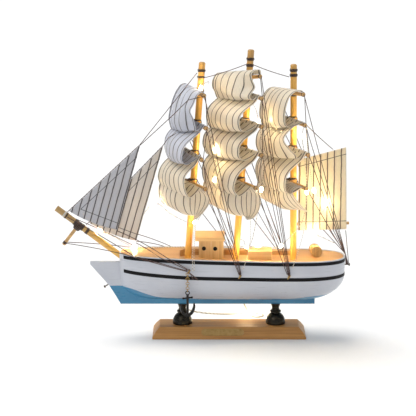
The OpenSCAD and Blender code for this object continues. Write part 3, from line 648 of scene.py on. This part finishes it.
def stripe(name, middle, half_width):
    """A painted line round the hull from the bow's shoulder, round the stern and back."""
    shape = Shape()
    xs = [lerp(STRIPE_START, STERN_X - 0.02, (1 - math.cos(math.pi * k / 160)) / 2 if k > 80 else k / 160)
          for k in range(161)]
    stations_round = [(x, -1) for x in xs] + [(x, 1) for x in reversed(xs)]
    rows = []
    for x, side in stations_round:
        row = []
        for inner, heights in ((False, (-1, -0.5, 0, 0.5, 1)), (True, (1, -1))):
            for h in heights:
                z = middle(x) + h * half_width
                lift = -0.3 if inner else STRIPE_PROUD * (0.55 if abs(h) == 1 else 1)
                y = side_y(x, z)
                slope = (side_y(min(x + 0.4, STERN_X), z) - side_y(x - 0.4, z)) / 0.8
                out = Vector((-max(-6, slope), 1, 0)).normalized() * lift
                row.append((x + out.x, side * max(0.02, y + out.y), z))
        rows.append(row)
    shape.grid(rows, wrap=True)
    return piece(shape.make(name, STRIPE_PAINT, 60), "black_paint")


stripe("upper_stripe", lambda x: sheer(x) - 2.2 - 0.2 * ease((x - 50) / 40), 1.42)
stripe("lower_stripe", lambda x: 51.6 + 0.018 * max(0, 35 - x) + 1.9 * (max(0, -x - 20) / 65) ** 2, 1.6)

# ---- Sails
HEM_GAP, HEM_RISE, CLOTH_T = 2.4, 0.4, 0.42
BELLY = [13, 15, 14]                # how far each mast's sails stand out forward
TOP_BELLY = [0.85, 0.75, 0.95]      # the top sail's share of that
FOOT_DROP = [25, 26.5, 21]          # how far each mast's lowest sail hangs below its yard
USUAL_INSET = 5                     # how much shorter a sail is than its yard
SAIL_INSET = {"main_sail_1": 1.5}
# How far a top sail puffs up over its yard
CREST = {"main_sail_1": 4.0, "fore_sail_1": 1.0, "mizzen_sail_1": 1.2}
WOVEN_PITCH = 9.4
EDGE_LINE = 1.7                     # the bold line's distance from a square sail's side

SQUARE_LINES = (WOVEN_PITCH, EDGE_LINE, EDGE_LINE, 1.1, 0.95)
SQUARE_CLOTH = cloth("square_cloth", (0.98, 0.92, 0.80), *SQUARE_LINES, 0.42)
# A darker, bluer copy of the square sails' cloth: painted shade, used on the fore mast's two upper sails
SHADED_CLOTH = cloth("shaded_cloth", (0.74, 0.76, 0.84), *SQUARE_LINES, 0.3)
# The jibs' cloth is greyer and darker than the square sails' cloth as painted shade, the outer jib more than
# the inner one
JIB_CLOTH = cloth("jib_cloth", (0.62, 0.62, 0.66), 5.5, 0.9, 5.2, 0.3, 0.7, 0.2)
INNER_JIB_CLOTH = cloth("inner_jib_cloth", (0.84, 0.78, 0.72), 5.5, 0.9, 5.2, 0.3, 0.7, 0.28)
SPANKER_CLOTH = cloth("spanker_cloth", (0.96, 0.86, 0.66), 5.6, 1.0, 5.4, 0.3, 0.7, 0.35)

# The side view of a full sail: (share of its depth forward, share of its height down)
TOP_BAG = [(0.0, -0.06), (0.35, -0.02), (0.66, 0.12), (0.88, 0.34), (0.98, 0.58), (1.0, 0.80), (0.94, 0.96)]
BAG = [(0.0, 0.04), (0.17, 0.17), (0.50, 0.30), (0.84, 0.45), (1.03, 0.62), (1.06, 0.84), (0.97, 1.02)]
# The same for a port edge that is creased or pressed flat
PORT_EDGE = {
    "main_sail_1": [(0.3, -0.03), (0.60, 0.08), (0.48, 0.26), (0.25, 0.45), (0.28, 0.58),
                    (0.52, 0.76), (0.64, 0.92)],
    "fore_sail_1": [(0.1, 0.0), (0.30, 0.10), (0.52, 0.28), (0.78, 0.48), (0.62, 0.66),
                    (0.50, 0.84), (0.42, 0.98)],
    "mizzen_sail_2": [(0.0, -0.04), (0.45, 0.06), (0.84, 0.22), (1.12, 0.42), (1.02, 0.60),
                      (0.74, 0.80), (0.46, 0.98)]}
# The port edge of each mast's lowest sail, from its yard's front: (forward, down)
LOW_EDGE = [
    [(2.2, 0), (-0.5, 3.2), (-4.2, 6.5), (-5, 10), (-3.2, 15), (0.5, 19), (4.5, 22.5), (8, 25)],
    [(2.2, 0), (-1, 3.2), (-4.4, 6.5), (-5.2, 10), (-4.6, 16), (-2.5, 21), (1.5, 24.8), (6.6, 25.8)],
    [(2.2, -0.5), (8, -0.6), (11, 2), (9.4, 6), (6.4, 10), (3, 14), (-0.4, 17.6), (-3.6, 20.5)]]
# How far the bag hangs below the yard under it: at the port edge, amidships and at the starboard edge
HANG = {"main_sail_1": (1.0, 4, 6), "fore_sail_1": (2, 6, 8), "mizzen_sail_2": (3, 6, 8),
        "main_sail_4": (6, 8, 9), "fore_sail_3": (6.5, 8, 9), "mizzen_sail_1": (1.5, 6, 8)}
USUAL_HANG = (3.5, 7, 8.5)


def sheet(name, rows, columns, place, across, down, hem, material):
    """A closed thin cloth: place(u, v) gives its middle, u across from -1 to 1 and v down from 0 to 1.
    across, down and hem give the cloth's own measures at (u, v), in mm."""
    count = rows + 1
    width = columns + 1
    middle = [[place(2 * k / columns - 1, i / rows) for k in range(width)] for i in range(count)]
    mesh = bpy.data.meshes.new(name)
    faces = [(i * width + k, i * width + k + 1, (i + 1) * width + k + 1, (i + 1) * width + k)
             for i in range(rows) for k in range(columns)]
    mesh.from_pydata([p * MM for row in middle for p in row], [], faces)
    uv = mesh.uv_layers.new(name="cloth")
    spots = [(2 * k / columns - 1, i / rows) for i in range(count) for k in range(width)]
    for loop in mesh.loops:
        u, v = spots[loop.vertex_index]
        uv.data[loop.index].uv = (across(u, v), down(u, v))
    edge = mesh.attributes.new("hem", "FLOAT", "POINT")
    edge.data.foreach_set("value", [hem(u, v) for u, v in spots])
    mesh.materials.append(material)
    mesh.polygons.foreach_set("use_smooth", [True] * len(mesh.polygons))
    made = add_object(name, mesh)
    thick = made.modifiers.new("thickness", "SOLIDIFY")
    thick.thickness = mm(CLOTH_T)
    thick.offset = 0
    thick.use_even_offset = False
    apply_modifiers(made)
    return made


def square_sail(mast, m, i, material):
    name = f"{mast}_sail_{i + 1}"
    width = YARD_L[m][i] - SAIL_INSET.get(name, USUAL_INSET)
    crest = CREST.get(name, 0)
    lowest = i == len(YARD_Z[m]) - 1
    out = BELLY[m] * (TOP_BELLY[m] if i == 0 else 1)
    seed = 10 * m + i
    foot = FOOT_DROP[m]
    if lowest:
        below, height, turn, wider = Vector((0, 0, 0)), foot, 0, 0
    else:
        below = yard_mid(m, i + 1) - yard_mid(m, i)
        height, turn = -below.z, BRACE[m][i + 1] - BRACE[m][i]
        below.z = 0
        wider = 0.6 * (YARD_L[m][i + 1] - YARD_L[m][i]) / width

    def profile(u, v):
        """Side view of the sail at u, as (forward and aft, height) from the yard's axis."""
        near = ease((-u - 0.25) / 0.75)
        uneven = 0.05 * noise.noise(Vector((u * 1.3, seed, 0)))
        deep = out * (1.06 - 0.05 * u * u - 0.15 * ease(max(0, u)) + uneven)
        if lowest:
            # The free lower edge curls round under the yard
            a = math.radians(lerp(-10, lerp(204, 222, ease((abs(u) - 0.2) / 0.8)), v))
            full = Vector((min(1, -HEM_GAP - 1.6 - deep * 0.86 * math.sin(a)),
                           HEM_RISE - foot * 0.5 + (foot * 0.5 + 0.6) * math.cos(a)))
            edge = through([Vector((-HEM_GAP + 2.2 - x, HEM_RISE - down)) for x, down in LOW_EDGE[m]], v)
            return full.lerp(edge, near)
        port, middle, starboard = HANG.get(name, USUAL_HANG)
        dip = lerp(middle, starboard if u > 0 else port, ease(abs(u)))
        usual = BAG if i else TOP_BAG
        route = [Vector((0.6, 1.9)), Vector((-0.6, 2.1 + 0.8 * crest))]
        for full, pressed in zip(usual, PORT_EDGE.get(name, usual)):
            forward, down = lerp(full[0], pressed[0], near), lerp(full[1], pressed[1], near)
            puff = crest * max(0, 1 - 3 * down)
            route.append(Vector((-HEM_GAP - deep * forward, HEM_RISE + puff - (height + 0.4 * dip) * down)))
        ends = lerp(1, 0.55, near) if name in PORT_EDGE else 1
        route.append(Vector((-HEM_GAP - 0.72 * deep * ends, -height - dip)))
        route.append(Vector((-HEM_GAP - 0.36 * deep * ends, -height - 0.62 * dip + 0.4)))
        route.append(Vector((-HEM_GAP - 0.8, -height + 0.6)))
        return through(route, v)

    def place(u, v):
        spot = profile(u, v)
        low = min(1, max(0, -spot.y / height))
        free = math.sin(math.pi * min(1, v * (0.5 if lowest else 1)))
        flow = Vector((u * 2.1 + seed * 3.7, v * 1.6, seed * 1.3))
        ripple = 0.8 * noise.noise(flow) + 0.3 * noise.noise(flow * 3.1)
        pucker = 0.22 * math.sin(u * 26 + seed) * math.exp(-6 * min(v, 1 - v))
        forward = spot.x - free * ripple + pucker * (1 - free)
        side = u * width / 2 * (1 + wider * low) + 0.6 * free * noise.noise(Vector((v * 3, seed, u)))
        rise = along_yard(m, i, side).z * (1 - low) if i == 0 else 0
        return (yard_mid(m, i) + below * low + turned(forward, side, BRACE[m][i] + turn * low)
                + Vector((0, 0, spot.y + 0.4 * free * ripple + rise)))

    rows = [profile(0, k / 60) for k in range(61)]
    length = sum((b - a).length for a, b in zip(rows, rows[1:]))
    spots = [place(k / 30 - 1, 0.5) for k in range(61)]
    gone = [0.0]
    for k, (a, b) in enumerate(zip(spots, spots[1:])):
        # The lines lie closer together where the lowest sails are gathered at their port edge
        closer = 1 + 1.3 * ease((20 - k) / 12) if lowest else 1
        gone.append(gone[-1] + closer * (b - a).length)

    def across(u):
        return gone[round((u + 1) * 30)]

    made = sheet(f"{name}_cloth", 60, 60, place, lambda u, v: across(u), lambda u, v: v * length,
                 lambda u, v: min(across(u), gone[-1] - across(u)), material)
    piece(made, "sailcloth", name)


for mast_number, mast_name in enumerate(("fore", "main", "mizzen")):
    for yard_number in range(len(YARD_Z[mast_number])):
        # The fore mast's two upper sails take the darker, bluer cloth as painted shade
        in_painted_shade = mast_name == "fore" and yard_number < 2
        square_sail(mast_name, mast_number, yard_number, SHADED_CLOTH if in_painted_shade else SQUARE_CLOTH)


def distance_from(p, a, b):
    """Distance in side view of p from the line through a and b."""
    along = (b - a).normalized()
    return abs((p - a).x * along.y - (p - a).y * along.x)


def staysail(name, node, corners, y, camber, roach, material):
    """A three-cornered sail between its stay and its sheet. Its woven lines run beside its after edge."""
    tack, head, clew = (Vector(c) for c in corners)

    def flat(u, v):
        t, w = (u + 1) / 2, v
        spot = tack + t * (head.lerp(clew, w) - tack)
        foot_out = roach * 4 * t * (1 - t) * w ** 3
        return spot + Vector((-0.25, -1)) * foot_out

    def place(u, v):
        t, spot = (u + 1) / 2, flat(u, v)
        swell = camber * math.sin(math.pi * min(1, t * 1.05)) * math.sin(math.pi * (0.12 + 0.8 * v))
        flow = Vector((spot.x * 0.05, spot.y * 0.05, y))
        return Vector((spot.x, y - swell + 0.5 * t * noise.noise(flow) * 2, spot.y))

    def seam(u, v):
        return min(distance_from(flat(u, v), tack, head), distance_from(flat(u, v), tack, clew))

    made = sheet(name, 40, 44, place, lambda u, v: distance_from(flat(u, v), head, clew),
                 lambda u, v: (flat(u, v) - tack).length, seam, material)
    piece(made, "sailcloth", node)


OUTER_JIB = [(-130.6, 104.2), (-72.2, 158.7), (-91.6, 88.9)]
INNER_JIB = [(-114.8, 93.8), (-53.6, 157.5), (-76.2, 78.8)]
staysail("outer_jib_sail", "jib_outer", OUTER_JIB, -1.6, 1.6, 2.0, JIB_CLOTH)
staysail("inner_jib_sail", "jib_inner", INNER_JIB, 1.6, 1.4, 2.0, INNER_JIB_CLOTH)

SPANKER = [(56.2, 146.4), (94.6, 156.7), (96, 88.7), (56.2, 87.8)]


def spanker_sail():
    top_fore, top_aft, low_aft, low_fore = (Vector(c) for c in SPANKER)

    def flat(u, v):
        t = (u + 1) / 2
        return top_fore.lerp(top_aft, t).lerp(low_fore.lerp(low_aft, t), v)

    def place(u, v):
        spot = flat(u, v)
        swell = 1.5 * math.sin(math.pi * (u + 1) / 2) * math.sin(math.pi * v)
        flow = Vector((spot.x * 0.06, spot.y * 0.05, 3))
        return Vector((spot.x, 0.2 - swell + 0.8 * noise.noise(flow), spot.y))

    def seam(u, v):
        spot = flat(u, v)
        return min(distance_from(spot, top_fore, top_aft), distance_from(spot, low_fore, low_aft) - 1.6)

    made = sheet("spanker_sail", 44, 36, place, lambda u, v: flat(u, v).x - SPANKER[0][0],
                 lambda u, v: flat(u, v).y - SPANKER[3][1], seam, SPANKER_CLOTH)
    piece(made, "sailcloth", "spanker")


spanker_sail()

# ---- Wound thread
lashings = Shape()
bowsprit_lashings = Shape()
pale_lashings = Shape()


def wind(shape, at, axis, radius, width, thick=0.4, slant=0.0):
    """Thread wound round a spar, turn beside turn."""
    axis = Vector(axis).normalized()
    guide = Vector((0, 1, 0)) if abs(axis.y) < 0.9 else Vector((1, 0, 0))
    side = axis.cross(guide).normalized()
    other = axis.cross(side)
    turns = max(2, round(width / thick))
    steps = 18
    route = []
    for k in range(turns * steps + 1):
        a = 2 * math.pi * k / steps
        along = -width / 2 + width * k / (turns * steps) + slant * math.sin(a)
        wobble = 1 + 0.03 * noise.noise(Vector((k * 0.21, radius, width)))
        route.append(Vector(at) + axis * along
                     + (radius + thick * 0.42) * wobble * (math.cos(a) * side + math.sin(a) * other))
    shape.tube(route, thick / 2, 6)


def cross_lashing(shape, m, i):
    """Turns that cross in front of the yard and behind its mast."""
    thick, angle = 0.42, BRACE[m][i]
    centre = yard_hub(m, i)
    for tilt in (-42, 42):
        slope = math.radians(tilt)
        mast_half = MAST_D / 2 / math.cos(slope)
        yard_half = YARD_D / 2 / abs(math.sin(slope))
        for strand in range(-1, 3):
            route = []
            for k in range(26):
                a = 2 * math.pi * k / 26
                reach = []
                for middle, half in ((YARD_GAP, mast_half), (0, yard_half)):
                    depth = (MAST_D if middle else YARD_D) / 2 + 0.5 * thick
                    size = math.hypot(depth * math.cos(a), (half + 0.5 * thick) * math.sin(a))
                    reach.append((middle * math.cos(a) + size, middle + depth ** 2 * math.cos(a) / size,
                                  (half + 0.5 * thick) ** 2 * math.sin(a) / size))
                x, d = max(reach)[1:]
                shift = (strand - 0.5) * thick * 1.05
                y = d * math.cos(slope) - shift * math.sin(slope)
                z = d * math.sin(slope) + shift * math.cos(slope)
                route.append(centre + turned(x, y, angle) + Vector((0, 0, z)))
            shape.tube(route, thick / 2, 6, closed=True)
    for s in (-1, 1):
        wind(shape, centre + along_yard(m, i, s * 3.9), along_yard(m, i, 1), YARD_D / 2, 1.2)


for m in range(3):
    for number, drop_below in enumerate(MAST_BANDS[m]):
        width = 0.8 if (m, number) == (0, 1) else 2.2
        at = mast_at(m, MAST_TOP[m][1] - drop_below)
        wind(lashings, at, mast_axis(m), MAST_D / 2, width)
        wind(lashings, at, mast_axis(m), MAST_D / 2 + 0.3, 0.8, 0.4, 1.0)
    for i in range(len(YARD_Z[m])):
        cross_lashing(lashings, m, i)
piece(lashings.make("spar_lashings", LASHING), "thread", "mast_lashings", "yard_lashings")

SPRIT_ROOT, SPRIT_TIP = Vector((-89.4, 0, 66.5)), Vector((-141.2, 0, 106.4))
SPRIT_AXIS = (SPRIT_TIP - SPRIT_ROOT).normalized()
STRIKER_AXIS = Vector((-math.sin(math.radians(37.6)), 0, -math.cos(math.radians(37.6))))
STRIKER_AT = 42.5                   # where the striker crosses the bowsprit, from the bowsprit's root
STRIKER_ROOT = SPRIT_ROOT + STRIKER_AT * SPRIT_AXIS
STRIKER_EYE = STRIKER_ROOT + 19 * STRIKER_AXIS
SPRIT_BANDS = [(34, 2.4), (39.1, 2.4), (45.9, 2.4), (55.2, 1.2)]    # distance from the root and width
PALE_BAND = (57.2, 1.6)


def sprit_at(distance):
    return SPRIT_ROOT + distance * SPRIT_AXIS


for distance, width in SPRIT_BANDS:
    wind(bowsprit_lashings, sprit_at(distance), SPRIT_AXIS, SPRIT_D / 2, width)
for tilt in (0.7, -0.7):
    wind(bowsprit_lashings, sprit_at(STRIKER_AT) + 1.2 * STRIKER_AXIS, SPRIT_AXIS, SPRIT_D / 2 + 1.0,
         3.2, 0.42, 2.2 * tilt)
wind(bowsprit_lashings, STRIKER_EYE, STRIKER_AXIS, 1.4, 2.2)
piece(bowsprit_lashings.make("bowsprit_windings", LASHING), "thread", "bowsprit_lashings")
wind(pale_lashings, sprit_at(PALE_BAND[0]), SPRIT_AXIS, SPRIT_D / 2, PALE_BAND[1], 0.42)
piece(pale_lashings.make("bowsprit_pale_winding", PALE_THREAD), "thread")

# ---- Rigging
EYE_X, EYE_Z, EYE_Y, EYE_R = [-32.8, 8.4, 48], [59.15, 55, 54.7], 26.1, 1.7
STERN_NAIL = Vector((98.4, 0, 59))
SIDE_STEP = 0.62                    # threads on one fitting lie side by side
LEAN_Z, LEAN_Y = 117, 31.6          # where a thread rests on a lowest sail's edge
RIM_EXITS = [-84, -78, -56, -50]    # where the fore threads leave the rim
FORE_TAILS = [(5.5, 5.0), (7.5, 6.5), (3.5, 6.0)]       # reach aft and drop of the cut ends at the fore eye


def hang(a, b, sag, steps=14):
    """A thread's line from a to b with a little slack."""
    a, b = Vector(a), Vector(b)
    return [a.lerp(b, k / steps) - Vector((0, 0, 4 * sag * (k / steps) * (1 - k / steps)))
            for k in range(steps + 1)]


def knot(shape, at):
    """A small overhand knot."""
    size = 0.22
    route = []
    for k in range(20):
        a = 2 * math.pi * k / 20
        route.append(Vector(at) + size * Vector((
            math.sin(a) + 2 * math.sin(2 * a), math.cos(a) - 2 * math.cos(2 * a), -math.sin(3 * a))))
    shape.tube(route, THREAD_D / 2, 6, closed=True)


def yard_tie(m, i, side, inset=2.5):
    behind = turned(YARD_D / 2 + 0.35, 0, BRACE[m][i])
    return yard_mid(m, i) + behind + along_yard(m, i, side * (YARD_L[m][i] / 2 - inset))


def side_rigging(name, node, s):
    shape = Shape()
    radius = THREAD_D / 2
    eye = [Vector((EYE_X[i], s * (EYE_Y + 0.2), EYE_Z[i])) for i in range(3)]
    for m in range(2):
        for i in range(len(YARD_Z[m])):
            top, low = yard_end(m, i, s), eye[m + 1] + Vector((SIDE_STEP * (1.5 - i), 0, EYE_R + 0.7))
            line = hang(top, low, 0.5 + 0.3 * (i % 3))
            if s > 0 or (m == 1 and i == 0):
                # These threads lean on the edge of the next mast's lowest sail
                bend = low.lerp(top, (LEAN_Z - low.z) / (top.z - low.z))
                bend.y = s * max(s * bend.y, LEAN_Y)
                past = [top, yard_end(m, 1, s) + Vector((0, 1, 0))] if s > 0 and i == 0 else [top]
                line = past[:-1] + hang(past[-1], bend, 0.3) + hang(bend, low, 0.3)[1:]
            shape.tube(line, radius, 6)
            wind(shape, yard_end(m, i, s, -0.9), along_yard(m, i, 1), YARD_D / 2, 0.8)
        for turn in range(3):
            ring_at = eye[m + 1] + Vector((0, 0, EYE_R + 0.2 - 0.35 * turn))
            wind(shape, ring_at + Vector((0, 0, 1.2)), (0, 0, 1), 0.8, 0.8, 0.4)
    for i in range(4):
        over_rim = Vector((STERN_X + 0.7, s * (1.4 + SIDE_STEP * i), sheer(STERN_X) + 0.5))
        down = STERN_NAIL + Vector((-SIDE_STEP * i - 0.4, s * 0.9, 0))
        start = yard_tie(2, i, s, 0.8) if s > 0 else yard_end(2, i, s)
        shape.tube(hang(start, over_rim, 0.7) + hang(over_rim, down, 0, 4)[1:], radius, 6)
        wind(shape, yard_end(2, i, s, -0.9), along_yard(2, i, 1), YARD_D / 2, 0.8)
    for m in range(3):
        for i in range(len(YARD_Z[m]) - 1):
            shape.tube(hang(yard_tie(m, i, s), yard_tie(m, i + 1, s), 0), radius, 6)
    ends = [
        STRIKER_EYE + Vector((0, s * 1.8, 0)), sprit_at(54) + Vector((0, s * 3, 0)),
        Vector((INNER_JIB[2][0], s * 2.8, INNER_JIB[2][1] - 1)),
        Vector((OUTER_JIB[2][0], s * 2.6, OUTER_JIB[2][1] - 1))]
    for k, x_leave in enumerate(RIM_EXITS):
        first = eye[0] + Vector((-1, 0, 0.3 + SIDE_STEP * k))
        route = [first]
        for j in range(1, 9):
            x = lerp(first.x, x_leave, j / 8)
            z = lerp(first.z, sheer(x_leave) + 0.5, j / 8)
            route.append(Vector((x, s * lerp(EYE_Y, half_breadth(x) + 0.8, min(1, j / 4)), z)))
        free = hang(route[-1], ends[k], -0.6 - 0.8 * (k == 3), 10)[1:]
        shape.tube(route + free, radius, 6)
    for k, (reach, drop_by) in enumerate(FORE_TAILS):
        tail_end = eye[0] + Vector((reach, s * 2.3, -drop_by))
        shape.tube(hang(eye[0] + Vector((0.3 * k, s * 1.7, -0.2)), tail_end, -0.5, 6), radius, 6)
    for at in eye:
        knot(shape, at + Vector((0, s * 0.3, 1.9)))
    piece(shape.make(name, THREAD), "thread", node)


side_rigging("port_rigging_thread", "rigging_port", -1)
side_rigging("starboard_rigging_thread", "rigging_starboard", 1)

STAYS_BETWEEN = [(0, 213.5, 224), (1, 223.5, 214)]      # mast, height on it, height on the next mast
OUTER_STAY_Z = 217.3
INNER_STAY_END, INNER_STAY_TAIL = Vector((-49, 1.6, 164.6)), Vector((-36, 1.4, 172))
HEAD_BRANCH = [(-45, -18, 186), (-33, -25.5, 199)]      # from the outer jib's head to the fore top yard
SPANKER_CLEW, GAFF_EYE = Vector((95.4, 0.4, 87.6)), Vector((84, 1.2, 154.8))

stays = Shape()


def stay(route):
    stays.tube(route, THREAD_D / 2, 6)


mast_gap = Vector((MAST_D / 2 + 0.8, 0, 0))
for m, from_z, to_z in STAYS_BETWEEN:
    stay(hang(mast_at(m, from_z) + mast_gap, mast_at(m + 1, to_z) - mast_gap, 0.6))
stay_ends = ((OUTER_JIB, -1.6, 1.6, mast_at(0, OUTER_STAY_Z) - mast_gap), (INNER_JIB, 1.6, 3, INNER_STAY_END))
for corners, y, from_tack, made_fast in stay_ends:
    tack, head = Vector(corners[0]), Vector(corners[1])
    luff = (head - tack).normalized()
    away = Vector((-luff.y, luff.x)) * 0.45
    low = tack + away - luff * from_tack
    high = head + away
    luff_line = hang((low.x, y, low.y), (high.x, y, high.y), 0, 30)
    stay(luff_line + hang(luff_line[-1], made_fast, 0, 6)[1:])
    # The luff is sewn to its stay
    for k in range(2, 29):
        wind(stays, luff_line[k], (luff.x, 0, luff.y), 0.3, 0.4, 0.2)
outer_head = Vector((OUTER_JIB[1][0], -1.6, OUTER_JIB[1][1]))
stay(hang(INNER_STAY_END, INNER_STAY_TAIL, 0, 4))
stay([outer_head, *HEAD_BRANCH, yard_end(0, 0, -1)])
stay(hang(SPANKER_CLEW, STERN_NAIL + Vector((-0.2, 0, 1.4)), 0.4))
stay(hang(yard_tie(2, 1, -1, 1.6), GAFF_EYE, 0.5))
piece(stays.make("stay_thread", THREAD), "thread", "rigging_stays")

# ---- Light string
STRING_ROUTE = [
    (9.6, 28.6, 53), (9.6, 29, 62), (9, 26, 73), (12, 8, 77), (14, -14, 77), (18, -21, 84),
    (22, -26, 106), (25, -31, 128), (27, -27, 152), (23, -12, 180), (20, 1, 190), (12, 16, 196),
    (4, 31, 202), (-8, 29, 203), (-16, 12, 206), (-17, -6, 211), (-23, -14, 207),
    (-18, -16, 192), (-17, -12, 172), (-12, -10, 156), (-12, -10, 132), (-18, -14, 116),
    (-28, -16, 98), (-46, 10, 98), (-62, 22, 106), (-76, 14, 92), (-98, 6, 84), (-106, 4, 87),
    (-94, 8, 80), (-78, 8, 72), (-52, 15, 70), (-8, 18, 70), (24, 17, 70), (42, 4, 72),
    (42, -14, 78), (58, -18, 98), (62, -20, 124), (60, -17, 152), (58, -12, 168), (62, 8, 172),
    (64, -3, 150), (68, -16, 124), (79, -4, 111), (72, -5, 98), (69, -4, 87), (78, -5, 82),
    (86, -4, 78)]
STRING_LIGHTS = [4, 7, 9, 13, 16, 19, 20, 22, 24, 27, 29, 32, 34, 36, 38, 41, 42, 44]
STRAND_D, STRAND_PITCH = 0.34, 4.5

string_line = smooth(STRING_ROUTE, 8)
string_wire = Shape()
for strand in (0, math.pi):
    route, gone, side = [], 0.0, Vector((0, 1, 0))
    for i, p in enumerate(string_line):
        here = Vector(p)
        ahead = Vector(string_line[min(i + 1, len(string_line) - 1)])
        back = Vector(string_line[max(i - 1, 0)])
        along = (ahead - back).normalized()
        side = (side - along * side.dot(along)).normalized()
        gone += (here - Vector(string_line[i - 1])).length if i else 0
        a = strand + 2 * math.pi * gone / STRAND_PITCH
        route.append(here + 0.5 * STRAND_D * (math.cos(a) * side + math.sin(a) * along.cross(side)))
    string_wire.tube(route, STRAND_D / 2, 6)
# Slack bights of the string that hang outside the port rail
SLACK = [
    [(-28, -16, 98), (-29.4, -24, 86), (-29.8, -27.4, 74), (-29.8, -27.6, 61.5), (-29, -27.6, 61),
     (-28.4, -27.6, 62), (-28.6, -27.2, 75), (-28, -23, 87), (-27.2, -16, 98.4)],
    [(16.6, -21, 103), (17, -25, 90), (15, -27.4, 76), (11.4, -27.6, 63), (10.6, -27.6, 62.4)],
    [(61.6, -15, 99), (58.6, -22, 87), (54.4, -27, 74), (51, -27.6, 64), (50.4, -27.6, 63.4)]]
for bight in SLACK:
    string_wire.tube([Vector(p) for p in smooth(bight, 6)], STRAND_D * 0.6, 6)
piece(string_wire.make("light_string_wire", WIRE), "light_wire", "led_wire")

string_drops = Shape()
for number, index in enumerate(STRING_LIGHTS):
    at = Vector(STRING_ROUTE[index])
    ahead = Vector(STRING_ROUTE[min(index + 1, len(STRING_ROUTE) - 1)])
    string_drops.drop(at, ahead - Vector(STRING_ROUTE[index - 1]), 2.2, 1.3, seed=number * 1.9)
piece(string_drops.make("light_string_drops", DROP), "light_drop", "led_drops")

# ---- CAD pieces that keep their shape
CAD_FINISH = {
    STAND_WOOD: ["base_block"], PLATE: ["name_plate"], BRONZE: ["pedestal_fore", "pedestal_aft"],
    STEEL: ["pedestal_screws", "coin_cells"], NAIL: ["hull_nails"], KEEL_PAINT: ["keel_board"],
    DECK_WOOD: ["deck_board"], HOUSE_WOOD: ["deckhouse_fore", "deckhouse_aft"],
    ROOF_WOOD: ["deckhouse_roof", "hatch_block"], BARREL_WOOD: ["stern_barrel"], BLACK_PAINT: ["portholes"],
    MAST_WOOD: ["mast_fore", "mast_main", "mast_mizzen"], SPRIT_WOOD: ["bowsprit"],
    YARD_WOOD: ["fore_yards", "main_yards", "mizzen_yards"], STICK_WOOD: ["gaff", "boom", "dolphin_striker"],
    BRASS: ["screw_eyes", "anchor_chain", "battery_contacts"], IRON: ["anchor"],
    WHITE_PLASTIC: ["battery_case", "battery_cover", "lead_grommet"], BLACK_PLASTIC: ["switch_slider"]}
for finish, names in CAD_FINISH.items():
    for node_name in names:
        mesh = NODES[node_name].data
        mesh.materials.clear()
        mesh.materials.append(finish)

SOFT_EDGES = {"base_block": 0.5, "deckhouse_fore": 0.25, "deckhouse_aft": 0.25, "deckhouse_roof": 0.35,
              "hatch_block": 0.35, "stern_barrel": 0.3, "keel_board": 0.3, "name_plate": 0.12}
for node_name, size in SOFT_EDGES.items():
    weld = NODES[node_name].modifiers.new("weld", "WELD")
    weld.merge_threshold = mm(0.002)
    bevel = NODES[node_name].modifiers.new("edges", "BEVEL")
    bevel.width = mm(size)
    bevel.segments = 3
    bevel.limit_method = "ANGLE"
    bevel.angle_limit = math.radians(28)
    bevel.harden_normals = True

# ---- Floor and light
FLOOR_HALF = 6.0
floor_mesh = bpy.data.meshes.new("floor")
floor_corners = [(x * FLOOR_HALF, y * FLOOR_HALF, 0) for x, y in ((-1, -1), (1, -1), (1, 1), (-1, 1))]
floor_mesh.from_pydata(floor_corners, [], [(0, 1, 2, 3)])
floor = add_object("floor", floor_mesh)
floor_finish = Finish("floor")
floor_finish.set(Base_Color=floor_finish.ramp(
    floor_finish.noise(6, 3), (0.3, (0.90, 0.90, 0.90)), (0.7, (0.94, 0.94, 0.94))), Roughness=0.7)
floor_mesh.materials.append(floor_finish.material)
floor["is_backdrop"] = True

world = bpy.data.worlds.new("studio")
world.use_nodes = True
background = world.node_tree.nodes["Background"].inputs
background["Color"].default_value, background["Strength"].default_value = (0.93, 0.96, 1.0, 1), 0.5
bpy.context.scene.world = world
bpy.context.scene.view_settings.view_transform = "Standard"


def softbox(name, at, size, power, colour):
    """A square studio light that faces the middle of the ship."""
    data = bpy.data.lights.new(name, "AREA")
    data.size, data.energy, data.color = size, power, colour
    made = add_object(name, data)
    made.location = at
    aim = Vector((0, 0, 0.1)) - Vector(at)
    made.rotation_euler = aim.to_track_quat("-Z", "Y").to_euler()


softbox("key", (-0.8, -1.2, 1.2), 0.9, 4, (1.0, 0.98, 0.95))

sun_data = bpy.data.lights.new("sky_sun", "SUN")
sun_data.energy, sun_data.angle, sun_data.color = 2.4, math.radians(45), (1.0, 0.985, 0.96)
sun = add_object("sky_sun", sun_data)
sun.rotation_euler = Vector((0.35, -0.28, -1)).to_track_quat("-Z", "Y").to_euler()

LAMP_POWER, LEAD_LAMP_POWER, STAND_LAMP_POWER = 0.065, 0.03, 0.02
STAND_LAMP_AT = (15, 20, 25)        # the pool of light on the stand's top, which no drop stands in


def lamp(name, at, power):
    """The glow of one light of the string."""
    data = bpy.data.lights.new(name, "POINT")
    data.energy, data.color, data.shadow_soft_size = power, LIT, mm(1.6)
    add_object(name, data).location = mm(*at)


for number, index in enumerate(STRING_LIGHTS):
    lamp(f"lamp_{number}", STRING_ROUTE[index], LAMP_POWER)
lamp("lamp_lead", Vector(LEAD_ROUTE[LEAD_LIGHT]) + Vector((0, 0, 3)), LEAD_LAMP_POWER)
lamp("lamp_stand", STAND_LAMP_AT, STAND_LAMP_POWER)

low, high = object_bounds()
